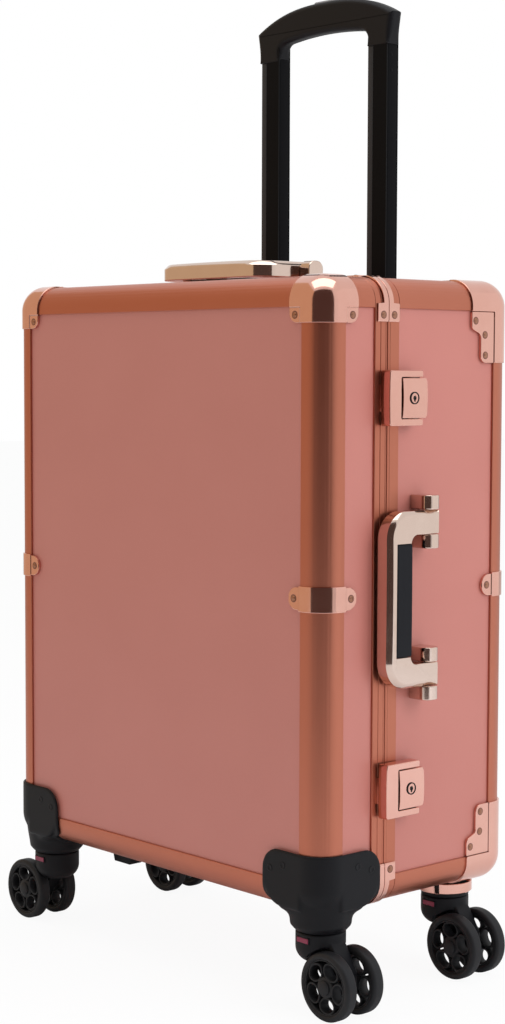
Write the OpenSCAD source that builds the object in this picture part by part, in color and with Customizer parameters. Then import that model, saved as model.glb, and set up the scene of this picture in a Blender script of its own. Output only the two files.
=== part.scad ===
// Rolling makeup case: a hard lid and base in rounded metal edge profiles, standing on four
// twin-wheel casters, with two carry handles, two draw latches and a telescopic trolley handle.
// Millimetres. X runs across the front, Y from the front to the back, Z up from the floor.
// The origin is on the floor, under the middle of the case.

/* [Case] */
// Width of the case across its front
case_w = 460; // [420:10:560]
// Depth of the case from front to back
case_d = 250; // [230:5:320]
// Height of the case without wheels
case_h = 570; // [540:10:640]
// Depth of the lid, from the front plane to the split
lid_d = 80; // [76:1:90]
// Gap between the two rim profiles when the case is shut
split_gap = 0.3; // [0.2:0.1:1]

/* [Edge profiles and panels] */
// Width of an edge profile on each face
edge_w = 28; // [26:1:32]
// Outer radius of an edge profile
edge_r = 24; // [20:1:25]
// Wall of a profile's outer skin
skin_t = 2; // [1.6:0.1:2.4]
// Wall of a profile's inner flange
flange_t = 1.6; // [1.2:0.1:2]
// Thickness of the laminated panels
panel_t = 4; // [3:0.5:5]
// Clearance round a panel in its slot
panel_gap = 0.1; // [0.05:0.05:0.2]
// How far a profile's lip covers the edge of a panel
lip_over = 5.5; // [4:0.5:6]
// Width of the lid's rim profile
lid_rim_w = 16; // [14:1:18]
// Width of the base's rim profile
base_rim_w = 15; // [14:1:18]
// Height of the tongue on the lid's rim
tongue_h = 2; // [1:0.5:2.5]
// Thickness of the tongue
tongue_t = 1.6; // [1:0.1:2]
// Clearance on each side of the tongue in its groove
tongue_gap = 0.6; // [0.5:0.1:0.8]

/* [Inside] */
// Thickness of the lining
lining_t = 2; // [1:0.5:3]
// Thickness of the board that covers the trolley channels
cover_board_t = 3; // [2:0.5:4]
// Thickness of a shelf
shelf_t = 6; // [4:1:8]
// Number of shelves, at even heights
shelf_n = 2; // [1:1:3]
// Height of the lip along a shelf's front edge
shelf_lip_h = 12; // [4:1:30]
// Thickness of that lip
shelf_lip_t = 4; // [3:0.5:6]
// How far a shelf's front edge stands behind the split
shelf_setback = 22; // [20:1:40]
// Width of the mirror in the lid
mirror_w = 300; // [200:10:360]
// Height of the mirror in the lid
mirror_h = 420; // [300:10:480]
// Thickness of the mirror
mirror_t = 3; // [2:0.5:4]

/* [Corner fittings] */
// Wall of the pressed corner fittings and clips
fitting_t = 1.6; // [1:0.1:2]
// Reach of a ball corner along each edge
ball_reach = 42; // [38:1:50]
// Radius of a ball corner's free corners
ball_tab_r = 9; // [4:1:12]
// Reach of the wide part of a rear corner plate across the faces
plate_reach = 59; // [54:1:66]
// Height of the wide part of a rear corner plate
plate_wide_h = 43; // [38:1:50]
// Reach of the narrow part of a rear corner plate across the faces
plate_neck = 46.5; // [40:0.5:50]
// Height of a rear corner plate
plate_h = 76; // [66:1:90]
// Radius of a rear corner plate's free corners
plate_tab_r = 7; // [4:1:10]
// Height of a clip on an upright edge
clip_h = 23; // [16:1:30]
// Reach of a clip on an upright edge
clip_reach = 42; // [38:1:48]
// Width of a clip beside the rims
rim_clip_w = 13.5; // [10:0.5:14]
// Width of the strap that takes a rim clip round the edge
rim_strap_w = 6; // [4:0.5:8]
// Reach of a rim clip from the corner
rim_clip_reach = 40; // [36:1:46]
// Length of the wide end of a rim clip
rim_pad_h = 16; // [12:1:20]
// Radius of a rivet head
rivet_r = 3.2; // [2:0.1:4]
// Height of a rivet head
rivet_h = 1.2; // [0.8:0.1:2]
// Distance of the rivets from the edge on corner fittings
rivet_in = 35; // [32:1:38]

/* [Caster guards] */
// Width of a caster guard on the front face
guard_w = 74; // [66:1:80]
// Length of a caster guard along the side
guard_side = 72.5; // [66:0.5:75]
// Height of a caster guard on the case
guard_h = 57; // [48:1:66]
// Radius of a caster guard's upper corners
guard_tab_r = 16; // [10:1:20]
// Radius of a caster guard's lower corners
guard_low_r = 22; // [12:1:24]
// Radius of the round swivel housing
housing_r = 28; // [25:1:30]
// Depth of the swivel housing below the case
housing_h = 17; // [14:1:20]
// Radius of the fillet round the top of the housing
neck_r = 4; // [2:0.5:4]
// Size of the chamfer round the housing's lower edge
lip_c = 4; // [1:0.5:5]
// Distance of a front swivel axis from the front and the side
front_inset = 30; // [28:1:40]
// Distance of a rear swivel axis from the back and the side
rear_inset = 42; // [36:1:50]
// Radius of the metal ring under a rear corner
ring_r = 26; // [24:0.5:30]
// Side of the square flange over a rear ring
rear_flange = 44; // [42:1:60]
// Height of the wide part of a rear ring below the case
ring_h = 13; // [10:0.5:14]

/* [Casters] */
// Radius of a wheel
wheel_r = 31; // [26:1:33]
// Width of a wheel
wheel_w = 13.5; // [10:0.5:16]
// Distance of the wheel axle below the case
axle_drop = 61; // [59:1:66]
// Distance of the axle behind the swivel axis
trail = 28; // [24:1:32]
// Radius of the swivel crown
crown_r = 23; // [20:1:24]
// Height of the swivel crown, down to its rounded bottom
crown_h = 28.7; // [26:0.1:32]
// Radius of the crown's lower edge
crown_edge_r = 14; // [8:1:16]
// Distance of the release tab's middle below the crown's top
tab_drop = 6.5; // [5:0.5:10]
// Thickness of the fork's web between the wheels
fork_t = 19; // [14:1:22]
// Radius of the web's lower end round the axle
fork_end_r = 12; // [9:1:13]
// Radius of the swivel stem
stem_r = 5; // [4:0.5:8]
// Radius of the axle
axle_r = 4; // [3:0.5:5]
// Radial clearance of stems, axles and pins in their bores
run_gap = 0.05; // [0.02:0.01:0.08]
// Clearance at each side of a wheel
side_gap = 0.5; // [0.3:0.1:1]
// Radius of the windows in a wheel
window_r = 5.6; // [3:0.2:6]
// Width of the coloured release tab
tab_w = 15; // [10:1:18]
// Height of the coloured release tab
tab_h = 5; // [4:0.5:6]

/* [Carry handles] */
// Length of a carry handle
handle_l = 160; // [140:2:170]
// Distance of a handle's outer edge from the front plane
handle_front = 64; // [60:1:70]
// Width of a handle's grip bar
handle_bar = 28; // [22:1:30]
// Thickness of a handle
handle_t = 16; // [12:1:18]
// Width of a handle's arms
handle_arm = 21.5; // [16:0.5:24]
// Outer radius of a handle's corners
handle_r = 25; // [15:1:30]
// Clearance between a folded handle and the case
handle_lift = 4.7; // [4:0.1:8]
// Distance of the handle pivot from the front plane
pivot_y = 122; // [116:1:130]
// Height of the handle pivot above the face
pivot_lift = 11; // [10.5:0.5:13]
// Radius of a handle pivot pin
handle_pin_r = 2.5; // [2:0.25:3]
// Thickness of a bracket lug
lug_t = 13; // [10:1:15]
// Depth of a bracket lug along the case
lug_d = 19; // [16:1:22]
// Height of a bracket lug
lug_h = 21; // [18:0.5:24]
// Radius of a lug's outer corners
lug_r = 5; // [2:0.5:9]
// Clearance between an arm and its lugs
lug_gap = 0.4; // [0.3:0.1:1]
// Length of the soft pad on a grip bar
pad_l = 102; // [80:2:110]
// Depth of that pad across the bar
pad_d = 19; // [14:0.5:20]
// How far the middle of the side handle lies below the middle of the case
side_handle_drop = 4; // [-20:1:20]

/* [Latches] */
// Distance of each latch from the nearer end of the case
latch_in = 108; // [90:1:140]
// Distance of the draw link's free edge from the front plane
link_front = 70; // [66:1:72]
// Height of the draw link
link_h = 49.6; // [40:0.2:60]
// Length of the draw link
link_l = 43; // [40:1:50]
// Length of the solid bridge of the draw link
link_bridge = 14.5; // [10:0.5:15]
// Distance of the link and lever faces from the case
latch_out = 13; // [12:0.5:16]
// Thickness of the lever plate
lever_t = 5; // [4:0.5:6]
// Height of the lever plate
lever_h = 36.6; // [30:0.2:46]
// Distance of the lever's thumb end from the front plane
lever_end = 119; // [116:1:126]
// Radius of the key cylinder
key_r = 5.5; // [4:0.5:7]
// Distance of the key cylinder from the front plane
key_y = 101.5; // [97:0.5:103]
// Depth of a latch's base plate
latch_plate_d = 32; // [28:1:34]
// Radius of the latch pins
latch_pin_r = 1.5; // [1:0.25:2]

/* [Hinges] */
// Distance of each hinge from the nearer end of the case
hinge_in = 120; // [80:1:160]
// Height of a hinge
hinge_h = 60; // [40:2:90]
// Width of a hinge leaf
leaf_w = 20; // [14:1:24]
// Thickness of a hinge leaf
leaf_t = 2; // [1.5:0.1:2.5]
// Radius of a hinge knuckle
knuckle_r = 4; // [3.5:0.25:5]
// Radius of a hinge pin
hinge_pin_r = 2; // [1.5:0.25:2.5]

/* [Trolley] */
// Distance from the middle to each trolley tube
tube_x = 78; // [60:1:90]
// Width of a trolley tube
tube_w = 27; // [20:1:30]
// Depth of a trolley tube
tube_d = 14.5; // [12:0.5:16]
// Wall of a trolley tube
tube_t = 1.5; // [1:0.1:2]
// Length of a trolley tube
tube_l = 500; // [460:5:520]
// Distance of the tubes' middle from the back plane
tube_back = 24.5; // [24:0.5:28]
// Clearance round a tube in its channel
tube_gap = 0.3; // [0.2:0.05:0.5]
// Wall of a trolley channel
channel_t = 2; // [1.5:0.1:2]
// Distance from the case top to the grip's sleeves as drawn
trolley_out = 236; // [20:1:300]
// Depth of the grip
grip_d = 17; // [16.5:0.5:22]
// Half width of the grip
grip_half = 94; // [92:1:110]
// Height of the grip from the sleeves to the crown
grip_h = 50; // [44:1:60]
// Rise of the grip's arched top
grip_rise = 19; // [12:1:22]
// Height of the finger gap above the sleeves' lower ends
grip_gap_h = 18; // [12:1:22]
// Half width of the finger gap
grip_gap_half = 63; // [40:1:63]
// Length of the push button
button_l = 34; // [24:1:44]
// Width of the push button
button_w = 10; // [8:0.5:12]
// Travel of the push button
button_travel = 4; // [2:0.5:5]
// Height of the bezels round the tubes
bezel_h = 3; // [2:0.5:4]
// Width of a bezel's rim round its tube
bezel_rim = 6; // [4:0.5:7]

/* [Front skid] */
// Length of the skid under the lid
skid_l = 37; // [30:1:60]
// Width of the skid
skid_w = 16; // [10:1:24]
// Height of the skid
skid_h = 20; // [10:1:24]
// Distance of the skid's middle to the left of the middle of the case
skid_x = 118; // [105:1:125]
// Distance of the skid's middle from the front plane
skid_y = 60; // [40:1:62]

/* [Hidden] */
$fn = 48;

// Colours, as the photograph shows them
PANEL = "#c47f78";
PROFILE = "#c98468";
POLISHED = "#e0a48f";
CHAMPAGNE = "#c9a182";
BLACK = "#1b1b1e";
GREY = "#8a8a8c";
RED = "#a01f4b";
LINING = "#2a2426";
MIRROR = "#c8d2d8";
STEEL = "#a9a9ab";

// Case sizes that follow from the driving dimensions
half_w = case_w / 2;
case_z = axle_drop + wheel_r;
slot_t = panel_t + 2 * panel_gap;
slot_in = edge_w - lip_over;
corner_gap = edge_w + 0.2;
face_in = skin_t + panel_gap;
panel_in = slot_in + 0.3;
inner_d = skin_t + slot_t + flange_t;
web_t = 1.5;
rim_web = 8;
lid_edge = lid_d - split_gap / 2;
base_edge = lid_d + split_gap / 2;
lining_in = inner_d + 0.1;
seat_gap = 0.05;
eps = 0.5;
tongue_out = skin_t + tongue_gap + 0.4;
base_panel_y = base_edge + rim_web + 0.3;
lid_panel_y = lid_edge - rim_web - 0.3;

// Corner fittings: the height of a rivet's seat, and where clips and rivets lie
on_fit = fitting_t + seat_gap;
clip_z = case_h / 2;
lid_clip_y = lid_edge - rim_clip_w;
base_clip_y = base_edge;
clip_rivet = rim_clip_reach - 6;
plate_rivet_in = 6;
plate_rivet_pitch = 19;

// Wall of a caster guard, and its rivets, from its side edge and from the case bottom
guard_t = fitting_t + 0.9;
guard_rivets = [[11, 38], [28, 43]];

// Inside sizes
channel_y = case_d - tube_back;
channel_w = tube_w + 2 * tube_gap + 2 * channel_t;
channel_d = tube_d + 2 * tube_gap + 2 * channel_t;
board_back = channel_y - channel_d / 2 - 0.1;
board_front = board_back - cover_board_t;
shelf_pitch = case_h / (shelf_n + 1);

// Caster sizes
crown_top = -housing_h - 0.3;
crown_low = crown_top - crown_h;
wheel_in = fork_t / 2 + side_gap;
wheel_clear = wheel_r + 1.2;
stem_up = housing_h - 4;
axle_cap = 1;
web_drop = 10.5;
tab_t = 2.7;
front_x = half_w - front_inset;
rear_x = half_w - rear_inset;
rear_y = case_d - rear_inset;
mount_t = 3;
mount_r = 10;
ring_step = 3;

// Wheel sizes: the hub's boss, the rim's inner edge, and how deep the disc between them lies
boss_r = axle_r + 5;
rim_r = wheel_r - 8;
disc_in = 3.5;
window_n = 5;

// Handle sizes, about the handle's own middle
handle_low = handle_lift;
arm_in = handle_l / 2 - handle_arm;
pad_front = handle_front + handle_bar - pad_d;
pad_proud = 0.3;
pin_x = arm_in + handle_arm / 2;
side_handle_z = case_h / 2 - side_handle_drop;
arm_relief = [7, 6.5];
pin_gap = 0.01;

// Latch sizes
link_low = 3;
link_arm_in = lever_h / 2 + 0.4;
lever_pivot = [5.5, link_front + link_bridge + 4];
link_pivot = [9.5, link_front + link_bridge + 23.5];
latch_plate_t = 2.3;
latch_low_z = latch_in;
latch_high_z = case_h - latch_in;
ear_in = 8.4;
ear_out = 12;
ear_r = 2.3;
eye_r = 2.7;

// Hinge sizes
hinge_off = leaf_t + 0.1 + knuckle_r - 1;
hinge_third = hinge_h / 3;

// Trolley sizes
sleeve_z = case_h + trolley_out;
grip_top = sleeve_z + grip_h;
arch_r = (grip_half * grip_half + grip_rise * grip_rise) / (2 * grip_rise);
pocket_up = 15;
button_pocket = 16;
channel_foot = 10;
channel_r = 4;
bore_r = 3;
bezel_r = 5;
gap_r = 12;

// Every sub-part is drawn from the front plane and the case bottom, and moved by this
module placed() translate([0, -case_d / 2, case_z]) children();

// Copies on the left and on the right
module both_sides() for (s = [0, 1]) mirror([s, 0, 0]) children();

// Copies at the bottom and at the top of the case
module both_levels()
    for (s = [0, 1]) translate([0, 0, s * case_h]) mirror([0, 0, s]) children();

// Turns a part drawn for the front side of a corner into one for the back
module to_back() translate([0, case_d, 0]) mirror([0, 1, 0]) children();

// A rectangle with round corners, about its middle
module rounded_rect(a, b, r) {
    square([a - 2 * r, b], center = true);
    square([a, b - 2 * r], center = true);
    for (sx = [-1, 1], sy = [-1, 1]) translate([sx * (a / 2 - r), sy * (b / 2 - r)]) circle(r);
}

// A square with the corner at the origin rounded
module soft_corner(s, r) {
    difference() {
        square(s);
        difference() {
            translate([-1, -1]) square(r + 1);
            translate([r, r]) circle(r);
        }
    }
}

// A rectangle round the origin with only its far corner rounded
module far_round(a, b, r) {
    difference() {
        translate([-5, -5]) square([a + 5, b + 5]);
        translate([a - r, b - r]) difference() {
            square(r + 1);
            circle(r);
        }
    }
}

// Turn a drawn profile so that it runs along Y, or along X
module along_y() mirror([0, 1, 0]) rotate([90, 0, 0]) children();
module along_x() mirror([1, 0, 0]) rotate([0, -90, 0]) children();

// The rounded case corner, as a solid of side s whose planes lie g outside the case planes
module corner_solid(s, g) {
    translate([-g, -g, -g]) intersection() {
        linear_extrude(s + g) soft_corner(s + g, edge_r + g);
        along_y() linear_extrude(s + g) soft_corner(s + g, edge_r + g);
        along_x() linear_extrude(s + g) soft_corner(s + g, edge_r + g);
    }
}

// The outline of a fitting that reaches a, b and c along X, Y and Z
module reach_block(a, b, c, r) {
    intersection() {
        translate([0, 0, -5]) linear_extrude(c + 5) far_round(a, b, r);
        translate([0, -5, 0]) along_y() linear_extrude(b + 5) far_round(a, c, r);
        translate([-5, 0, 0]) along_x() linear_extrude(a + 5) far_round(c, b, r);
    }
}

// A pressed corner: a shell of thickness t over the case corner
module corner_shell(s, t) {
    difference() {
        corner_solid(s, t + seat_gap);
        corner_solid(s + 2, seat_gap);
    }
}

// A strap of height h round an upright edge
module edge_strap(a, b, h) {
    linear_extrude(h) difference() {
        translate([-fitting_t - seat_gap, -fitting_t - seat_gap])
            soft_corner(max(a, b) + fitting_t, edge_r + fitting_t + seat_gap);
        translate([-seat_gap, -seat_gap]) soft_corner(max(a, b) + 5, edge_r + seat_gap);
        translate([a, -5]) square(max(a, b));
        translate([-5, b]) square(max(a, b));
    }
}

// A rivet head standing up from the XY plane
module rivet() cylinder(h = rivet_h, r1 = rivet_r, r2 = rivet_r * 0.65);

// Rivet heads on the front plane, the right plane and the top, at height t above the plane
module on_front(x, z, t) translate([x, -t, z]) rotate([90, 0, 0]) rivet();
module on_back(x, z, t) translate([x, case_d + t, z]) rotate([-90, 0, 0]) rivet();
module on_right(y, z, t) translate([half_w + t, y, z]) rotate([0, 90, 0]) rivet();
module on_top(x, y, t) translate([x, y, case_h + t]) rivet();

// Cross-section of an edge profile: skin, inner flange, hollow chamber and two panel slots
module edge_section() {
    difference() {
        soft_corner(edge_w, edge_r);
        translate([inner_d, inner_d]) soft_corner(edge_w, edge_r - inner_d);
        difference() {
            translate([skin_t, skin_t]) square(slot_in - web_t - skin_t);
            difference() {
                square(edge_r);
                translate([edge_r, edge_r]) circle(edge_r - skin_t);
            }
            translate([skin_t + slot_t, skin_t + slot_t])
                soft_corner(edge_w, edge_r - skin_t - slot_t);
        }
        translate([slot_in, skin_t]) square([edge_w, slot_t]);
        translate([skin_t, slot_in]) square([slot_t, edge_w]);
    }
}

// Upright edge at the front left, between the corners
module upright_edge() {
    translate([-half_w, 0, corner_gap])
        linear_extrude(case_h - 2 * corner_gap) edge_section();
}

// Horizontal edge along the front of the bottom
module cross_edge() {
    translate([-half_w + corner_gap, 0, 0])
        along_x() linear_extrude(case_w - 2 * corner_gap) edge_section();
}

// Edge of the left side of the bottom, from y0 to y1
module depth_edge(y0, y1) {
    translate([-half_w, y0, 0]) along_y() linear_extrude(y1 - y0) edge_section();
}

// The way of the two trolley channels through the top of the case
module channel_cut() both_sides() translate([tube_x, channel_y, case_h - 30]) linear_extrude(40)
    rounded_rect(channel_w + 0.2, channel_d + 0.2, channel_r);

module base_edge_profiles() color(PROFILE) placed() {
    both_sides() to_back() upright_edge();
    difference() {
        both_levels() to_back() cross_edge();
        channel_cut();
    }
    both_sides() both_levels() depth_edge(lid_d + base_rim_w + 0.1, case_d - corner_gap);
}

module lid_edge_profiles() color(PROFILE) placed() {
    both_sides() upright_edge();
    both_levels() cross_edge();
    both_sides() both_levels() depth_edge(corner_gap, lid_d - lid_rim_w - 0.1);
}

// A band that follows the outline of the case between two depths, from y0 to y1
module rim_band(y0, y1, out_d, in_d) {
    translate([0, y1, case_h / 2]) rotate([90, 0, 0]) linear_extrude(y1 - y0) difference() {
        rounded_rect(case_w - 2 * out_d, case_h - 2 * out_d, edge_r - out_d);
        rounded_rect(case_w - 2 * in_d, case_h - 2 * in_d, edge_r - in_d);
    }
}

module base_rim_profile() color(PROFILE) placed() {
    back = lid_d + base_rim_w;
    difference() {
        rim_band(base_edge, back, 0, inner_d);
        rim_band(base_edge + rim_web, back + eps, skin_t, skin_t + slot_t);
        rim_band(base_edge - eps, base_edge + tongue_h + 0.5,
            tongue_out - tongue_gap, tongue_out + tongue_t + tongue_gap);
    }
}

module lid_rim_profile() color(PROFILE) placed() {
    front = lid_d - lid_rim_w;
    difference() {
        rim_band(front, lid_edge, 0, inner_d);
        rim_band(front - eps, lid_edge - rim_web, skin_t, skin_t + slot_t);
    }
    rim_band(lid_edge - 1, lid_edge + tongue_h, tongue_out, tongue_out + tongue_t);
}

// A panel behind the lip of its profiles, on the left side
module side_panel(y0, y1) {
    translate([-half_w + skin_t + panel_gap, y0, panel_in])
        cube([panel_t, y1 - y0, case_h - 2 * panel_in]);
}

// A panel on the bottom
module level_panel(y0, y1) {
    translate([-half_w + panel_in, y0, skin_t + panel_gap])
        cube([case_w - 2 * panel_in, y1 - y0, panel_t]);
}

module back_panel() color(PANEL) placed() {
    translate([-half_w + panel_in, case_d - skin_t - panel_gap - panel_t, panel_in])
        cube([case_w - 2 * panel_in, panel_t, case_h - 2 * panel_in]);
}

module base_side_panels() color(PANEL) placed() {
    both_sides() side_panel(base_panel_y, case_d - panel_in);
    level_panel(base_panel_y, case_d - panel_in);
    difference() {
        translate([0, 0, case_h]) mirror([0, 0, 1]) level_panel(base_panel_y, case_d - panel_in);
        channel_cut();
    }
}

module front_panel() color(PANEL) placed() {
    translate([-half_w + panel_in, skin_t + panel_gap, panel_in])
        cube([case_w - 2 * panel_in, panel_t, case_h - 2 * panel_in]);
}

module lid_side_panels() color(PANEL) placed() {
    both_sides() side_panel(panel_in, lid_panel_y);
    both_levels() level_panel(panel_in, lid_panel_y);
}

// A rounded block inside the case, g inside its planes, between y0 and y1
module inner_block(g, y0, y1) intersection() {
    translate([0, y0, case_h / 2]) along_y() linear_extrude(y1 - y0)
        rounded_rect(case_w - 2 * g, case_h - 2 * g, edge_r - g);
    translate([0, g + case_d / 2, 0]) linear_extrude(case_h)
        rounded_rect(case_w - 2 * g, case_d, edge_r - g);
    translate([-half_w, g + case_d / 2, case_h / 2]) along_x() linear_extrude(case_w)
        rounded_rect(case_h - 2 * g, case_d, edge_r - g);
}

// A slice of the case's inside, g inside its planes, from y0 to y1
module inner_slice(g, y0, y1) translate([0, y0, case_h / 2]) along_y() linear_extrude(y1 - y0)
    rounded_rect(case_w - 2 * g, case_h - 2 * g, edge_r - g);

module base_lining() color(LINING) placed() difference() {
    inner_slice(lining_in, base_edge + 0.5, board_front - 0.1);
    inner_slice(lining_in + lining_t, base_edge, board_front);
}

module lid_lining() color(LINING) placed() difference() {
    inner_block(lining_in, 0, lid_edge - 0.5);
    inner_block(lining_in + lining_t, 0, lid_edge);
}

module trolley_cover_board() color(LINING) placed() inner_slice(lining_in, board_front, board_back);

// Shelves that rest in the base, each with a low front lip
module divider_shelves() color(LINING) placed() {
    shelf_x = half_w - lining_in - lining_t - 0.1;
    shelf_y = lid_d + shelf_setback;
    for (k = [1:shelf_n]) translate([-shelf_x, shelf_y, k * shelf_pitch]) {
        cube([2 * shelf_x, board_front - shelf_y - 0.1, shelf_t]);
        cube([2 * shelf_x, shelf_lip_t, shelf_t + shelf_lip_h]);
    }
}

module lid_mirror() color(MIRROR) placed() {
    translate([-mirror_w / 2, lining_in + lining_t + 0.05, (case_h - mirror_h) / 2])
        cube([mirror_w, mirror_t, mirror_h]);
}

// Ball corners of the lid, drawn at the front left of the bottom and turned to the top
module ball_corners() color(POLISHED) placed() {
    both_sides() translate([-half_w, 0, case_h]) mirror([0, 0, 1]) intersection() {
        corner_shell(ball_reach + 5, fitting_t);
        reach_block(ball_reach, ball_reach, ball_reach, ball_tab_r);
    }
}

module rear_corner_plates() color(POLISHED) placed() {
    both_sides() both_levels() to_back() translate([-half_w, 0, 0]) intersection() {
        corner_shell(plate_h + 5, fitting_t);
        union() {
            reach_block(plate_reach, plate_reach, plate_wide_h, plate_tab_r);
            reach_block(plate_neck, plate_neck, plate_h, plate_tab_r);
        }
    }
}

// A rim clip: a strap round the bottom left edge and a wide tab at each end that is asked for
module rim_clip(y0, y1, strap_y, tabs) {
    translate([-half_w, strap_y, 0]) along_y()
        edge_strap(rim_clip_reach, rim_clip_reach, rim_strap_w);
    if (tabs) intersection() {
        translate([-half_w, y0, 0]) along_y()
            edge_strap(rim_clip_reach, rim_clip_reach, y1 - y0);
        translate([-half_w, 0, 0]) difference() {
            translate([-5, y0, -5]) cube([rim_clip_reach + 5, y1 - y0, rim_clip_reach + 5]);
            translate([-6, y0 - 1, -6])
                cube([rim_clip_reach - rim_pad_h + 6, y1 - y0 + 2, rim_clip_reach - rim_pad_h + 6]);
        }
    }
}

module base_clips() color(POLISHED) placed() {
    both_sides() both_levels()
        rim_clip(base_clip_y, base_clip_y + rim_clip_w, base_clip_y, true);
    both_sides() to_back() translate([-half_w, 0, clip_z - clip_h / 2])
        edge_strap(clip_reach, clip_reach, clip_h);
}

module lid_clips() color(POLISHED) placed() {
    both_sides() translate([0, 0, case_h]) mirror([0, 0, 1])
        rim_clip(lid_clip_y, lid_edge, lid_edge - rim_strap_w, true);
    both_sides() rim_clip(lid_clip_y, lid_edge, lid_edge - rim_strap_w, false);
    both_sides() translate([-half_w, 0, clip_z - clip_h / 2])
        edge_strap(clip_reach, clip_reach, clip_h);
}

module base_rivets() color(POLISHED) placed() {
    both_sides() both_levels() {
        on_right(base_clip_y + rim_clip_w / 2, clip_rivet, on_fit);
        on_right(case_d - plate_reach + plate_rivet_in, rivet_in, on_fit);
        on_back(half_w - plate_reach + plate_rivet_in, rivet_in, on_fit);
        for (z = [plate_h - plate_rivet_in, plate_h - plate_rivet_in - plate_rivet_pitch]) {
            on_right(case_d - plate_neck + plate_rivet_in, z, on_fit);
            on_back(half_w - plate_neck + plate_rivet_in, z, on_fit);
        }
    }
    both_sides() {
        on_right(case_d - rivet_in, clip_z, on_fit);
        on_back(half_w - rivet_in, clip_z, on_fit);
        on_top(half_w - clip_rivet, base_clip_y + rim_clip_w / 2, on_fit);
    }
}

module lid_rivets() color(POLISHED) placed() {
    both_sides() {
        on_front(half_w - rivet_in, case_h - rivet_in, on_fit);
        on_right(rivet_in, case_h - rivet_in, on_fit);
        on_top(half_w - rivet_in, rivet_in, on_fit);
        on_right(lid_edge - rim_clip_w / 2, case_h - clip_rivet, on_fit);
        on_top(half_w - clip_rivet, lid_edge - rim_clip_w / 2, on_fit);
        on_right(rivet_in, clip_z, on_fit);
        on_front(half_w - rivet_in, clip_z, on_fit);
        for (u = guard_rivets) {
            on_front(half_w - guard_w + u[0], u[1], guard_t + seat_gap);
            on_right(guard_side - u[0], u[1], guard_t + seat_gap);
        }
    }
}

// One lobe of a caster guard: its width a, its height c, its far corners rounded
module lobe(a, c) {
    difference() {
        far_round(a, c, guard_tab_r);
        translate([a - guard_low_r, guard_low_r - guard_t]) difference() {
            translate([0, -guard_low_r - 5]) square([guard_low_r + 1, guard_low_r + 5]);
            circle(guard_low_r);
        }
    }
}

// Swivel housing, with a fillet under the guard and a chamfer round its lower edge
module swivel_housing() {
    difference() {
        union() {
            cylinder(h = lip_c, r1 = housing_r - lip_c, r2 = housing_r);
            translate([0, 0, lip_c]) cylinder(h = housing_h - seat_gap - lip_c, r = housing_r);
            translate([0, 0, housing_h - seat_gap - neck_r]) rotate_extrude() difference() {
                square([housing_r + neck_r, neck_r]);
                translate([housing_r + neck_r, 0]) circle(neck_r);
            }
        }
        translate([0, 0, -1]) cylinder(h = stem_up + 1.5, r = stem_r + run_gap);
    }
}

// Caster guard over a front bottom corner
module caster_guards() color(BLACK) placed() {
    both_sides() translate([-half_w, 0, 0]) {
        intersection() {
            corner_shell(guard_w + 5, guard_t);
            translate([0, -5, 0]) along_y() linear_extrude(guard_side + 5) lobe(guard_w, guard_h);
            translate([-5, 0, 0]) along_x() linear_extrude(guard_w + 5)
                mirror([1, -1, 0]) lobe(guard_side, guard_h);
        }
        translate([front_inset, front_inset, -housing_h]) swivel_housing();
    }
}

module rear_caster_mounts() color(POLISHED) placed() {
    both_sides() translate([-half_w + rear_inset, case_d - rear_inset, 0]) difference() {
        union() {
            translate([0, 0, -on_fit - mount_t]) linear_extrude(mount_t)
                rounded_rect(rear_flange, rear_flange, mount_r);
            translate([0, 0, -ring_h]) cylinder(h = ring_h - mount_t, r = ring_r);
            translate([0, 0, -housing_h]) cylinder(h = housing_h - mount_t, r = ring_r - ring_step);
        }
        translate([0, 0, -housing_h - 1]) cylinder(h = stem_up + 1.5, r = stem_r + run_gap);
    }
}

// One hinge on the left side: the axis is upright, on the split plane
module on_hinges() for (z = [hinge_in, case_h - hinge_in])
    translate([-half_w - hinge_off, lid_d, z]) children();

module knuckle(z0, z1) {
    translate([0, 0, z0]) cylinder(h = z1 - z0, r = knuckle_r);
}

module leaf(sign) {
    x0 = hinge_off - leaf_t - 0.1;
    translate([x0, sign > 0 ? 0.3 : -leaf_w, -hinge_h / 2]) cube([leaf_t, leaf_w - 0.3, hinge_h]);
}

module base_hinge_leaves() color(POLISHED) placed() on_hinges() difference() {
    union() {
        difference() {
            leaf(1);
            cylinder(h = hinge_third + 0.6, r = knuckle_r + 0.3, center = true);
        }
        knuckle(-hinge_h / 2, -hinge_third / 2 - 0.3);
        knuckle(hinge_third / 2 + 0.3, hinge_h / 2);
    }
    cylinder(h = hinge_h + 2, r = hinge_pin_r + run_gap, center = true);
}

module lid_hinge_leaves() color(POLISHED) placed() on_hinges() difference() {
    union() {
        difference() {
            leaf(-1);
            for (s = [-1, 1]) translate([0, 0, s * hinge_third])
                cylinder(h = hinge_third + 0.6, r = knuckle_r + 0.3, center = true);
        }
        knuckle(-hinge_third / 2, hinge_third / 2);
    }
    cylinder(h = hinge_h + 2, r = hinge_pin_r + run_gap, center = true);
}

// Pins of the case hinges and of the four handle pivots
module pivot_pins() color(STEEL) placed() {
    on_hinges() cylinder(h = hinge_h, r = hinge_pin_r, center = true);
    pin_l = handle_arm + 2 * lug_gap + 2 * (lug_t - 2);
    for (s = [-1, 1]) {
        translate([half_w + pivot_lift, pivot_y, side_handle_z + s * pin_x])
            cylinder(h = pin_l, r = handle_pin_r, center = true);
        translate([s * pin_x, pivot_y, case_h + pivot_lift])
            rotate([0, 90, 0]) cylinder(h = pin_l, r = handle_pin_r, center = true);
    }
}

// Side handle axes: the handle is drawn flat in the XY plane, lying along X, its pivots at y 0
module on_side() translate([half_w, pivot_y, side_handle_z]) rotate([0, 90, 0]) children();
module on_top_face() translate([0, pivot_y, case_h]) children();

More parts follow.
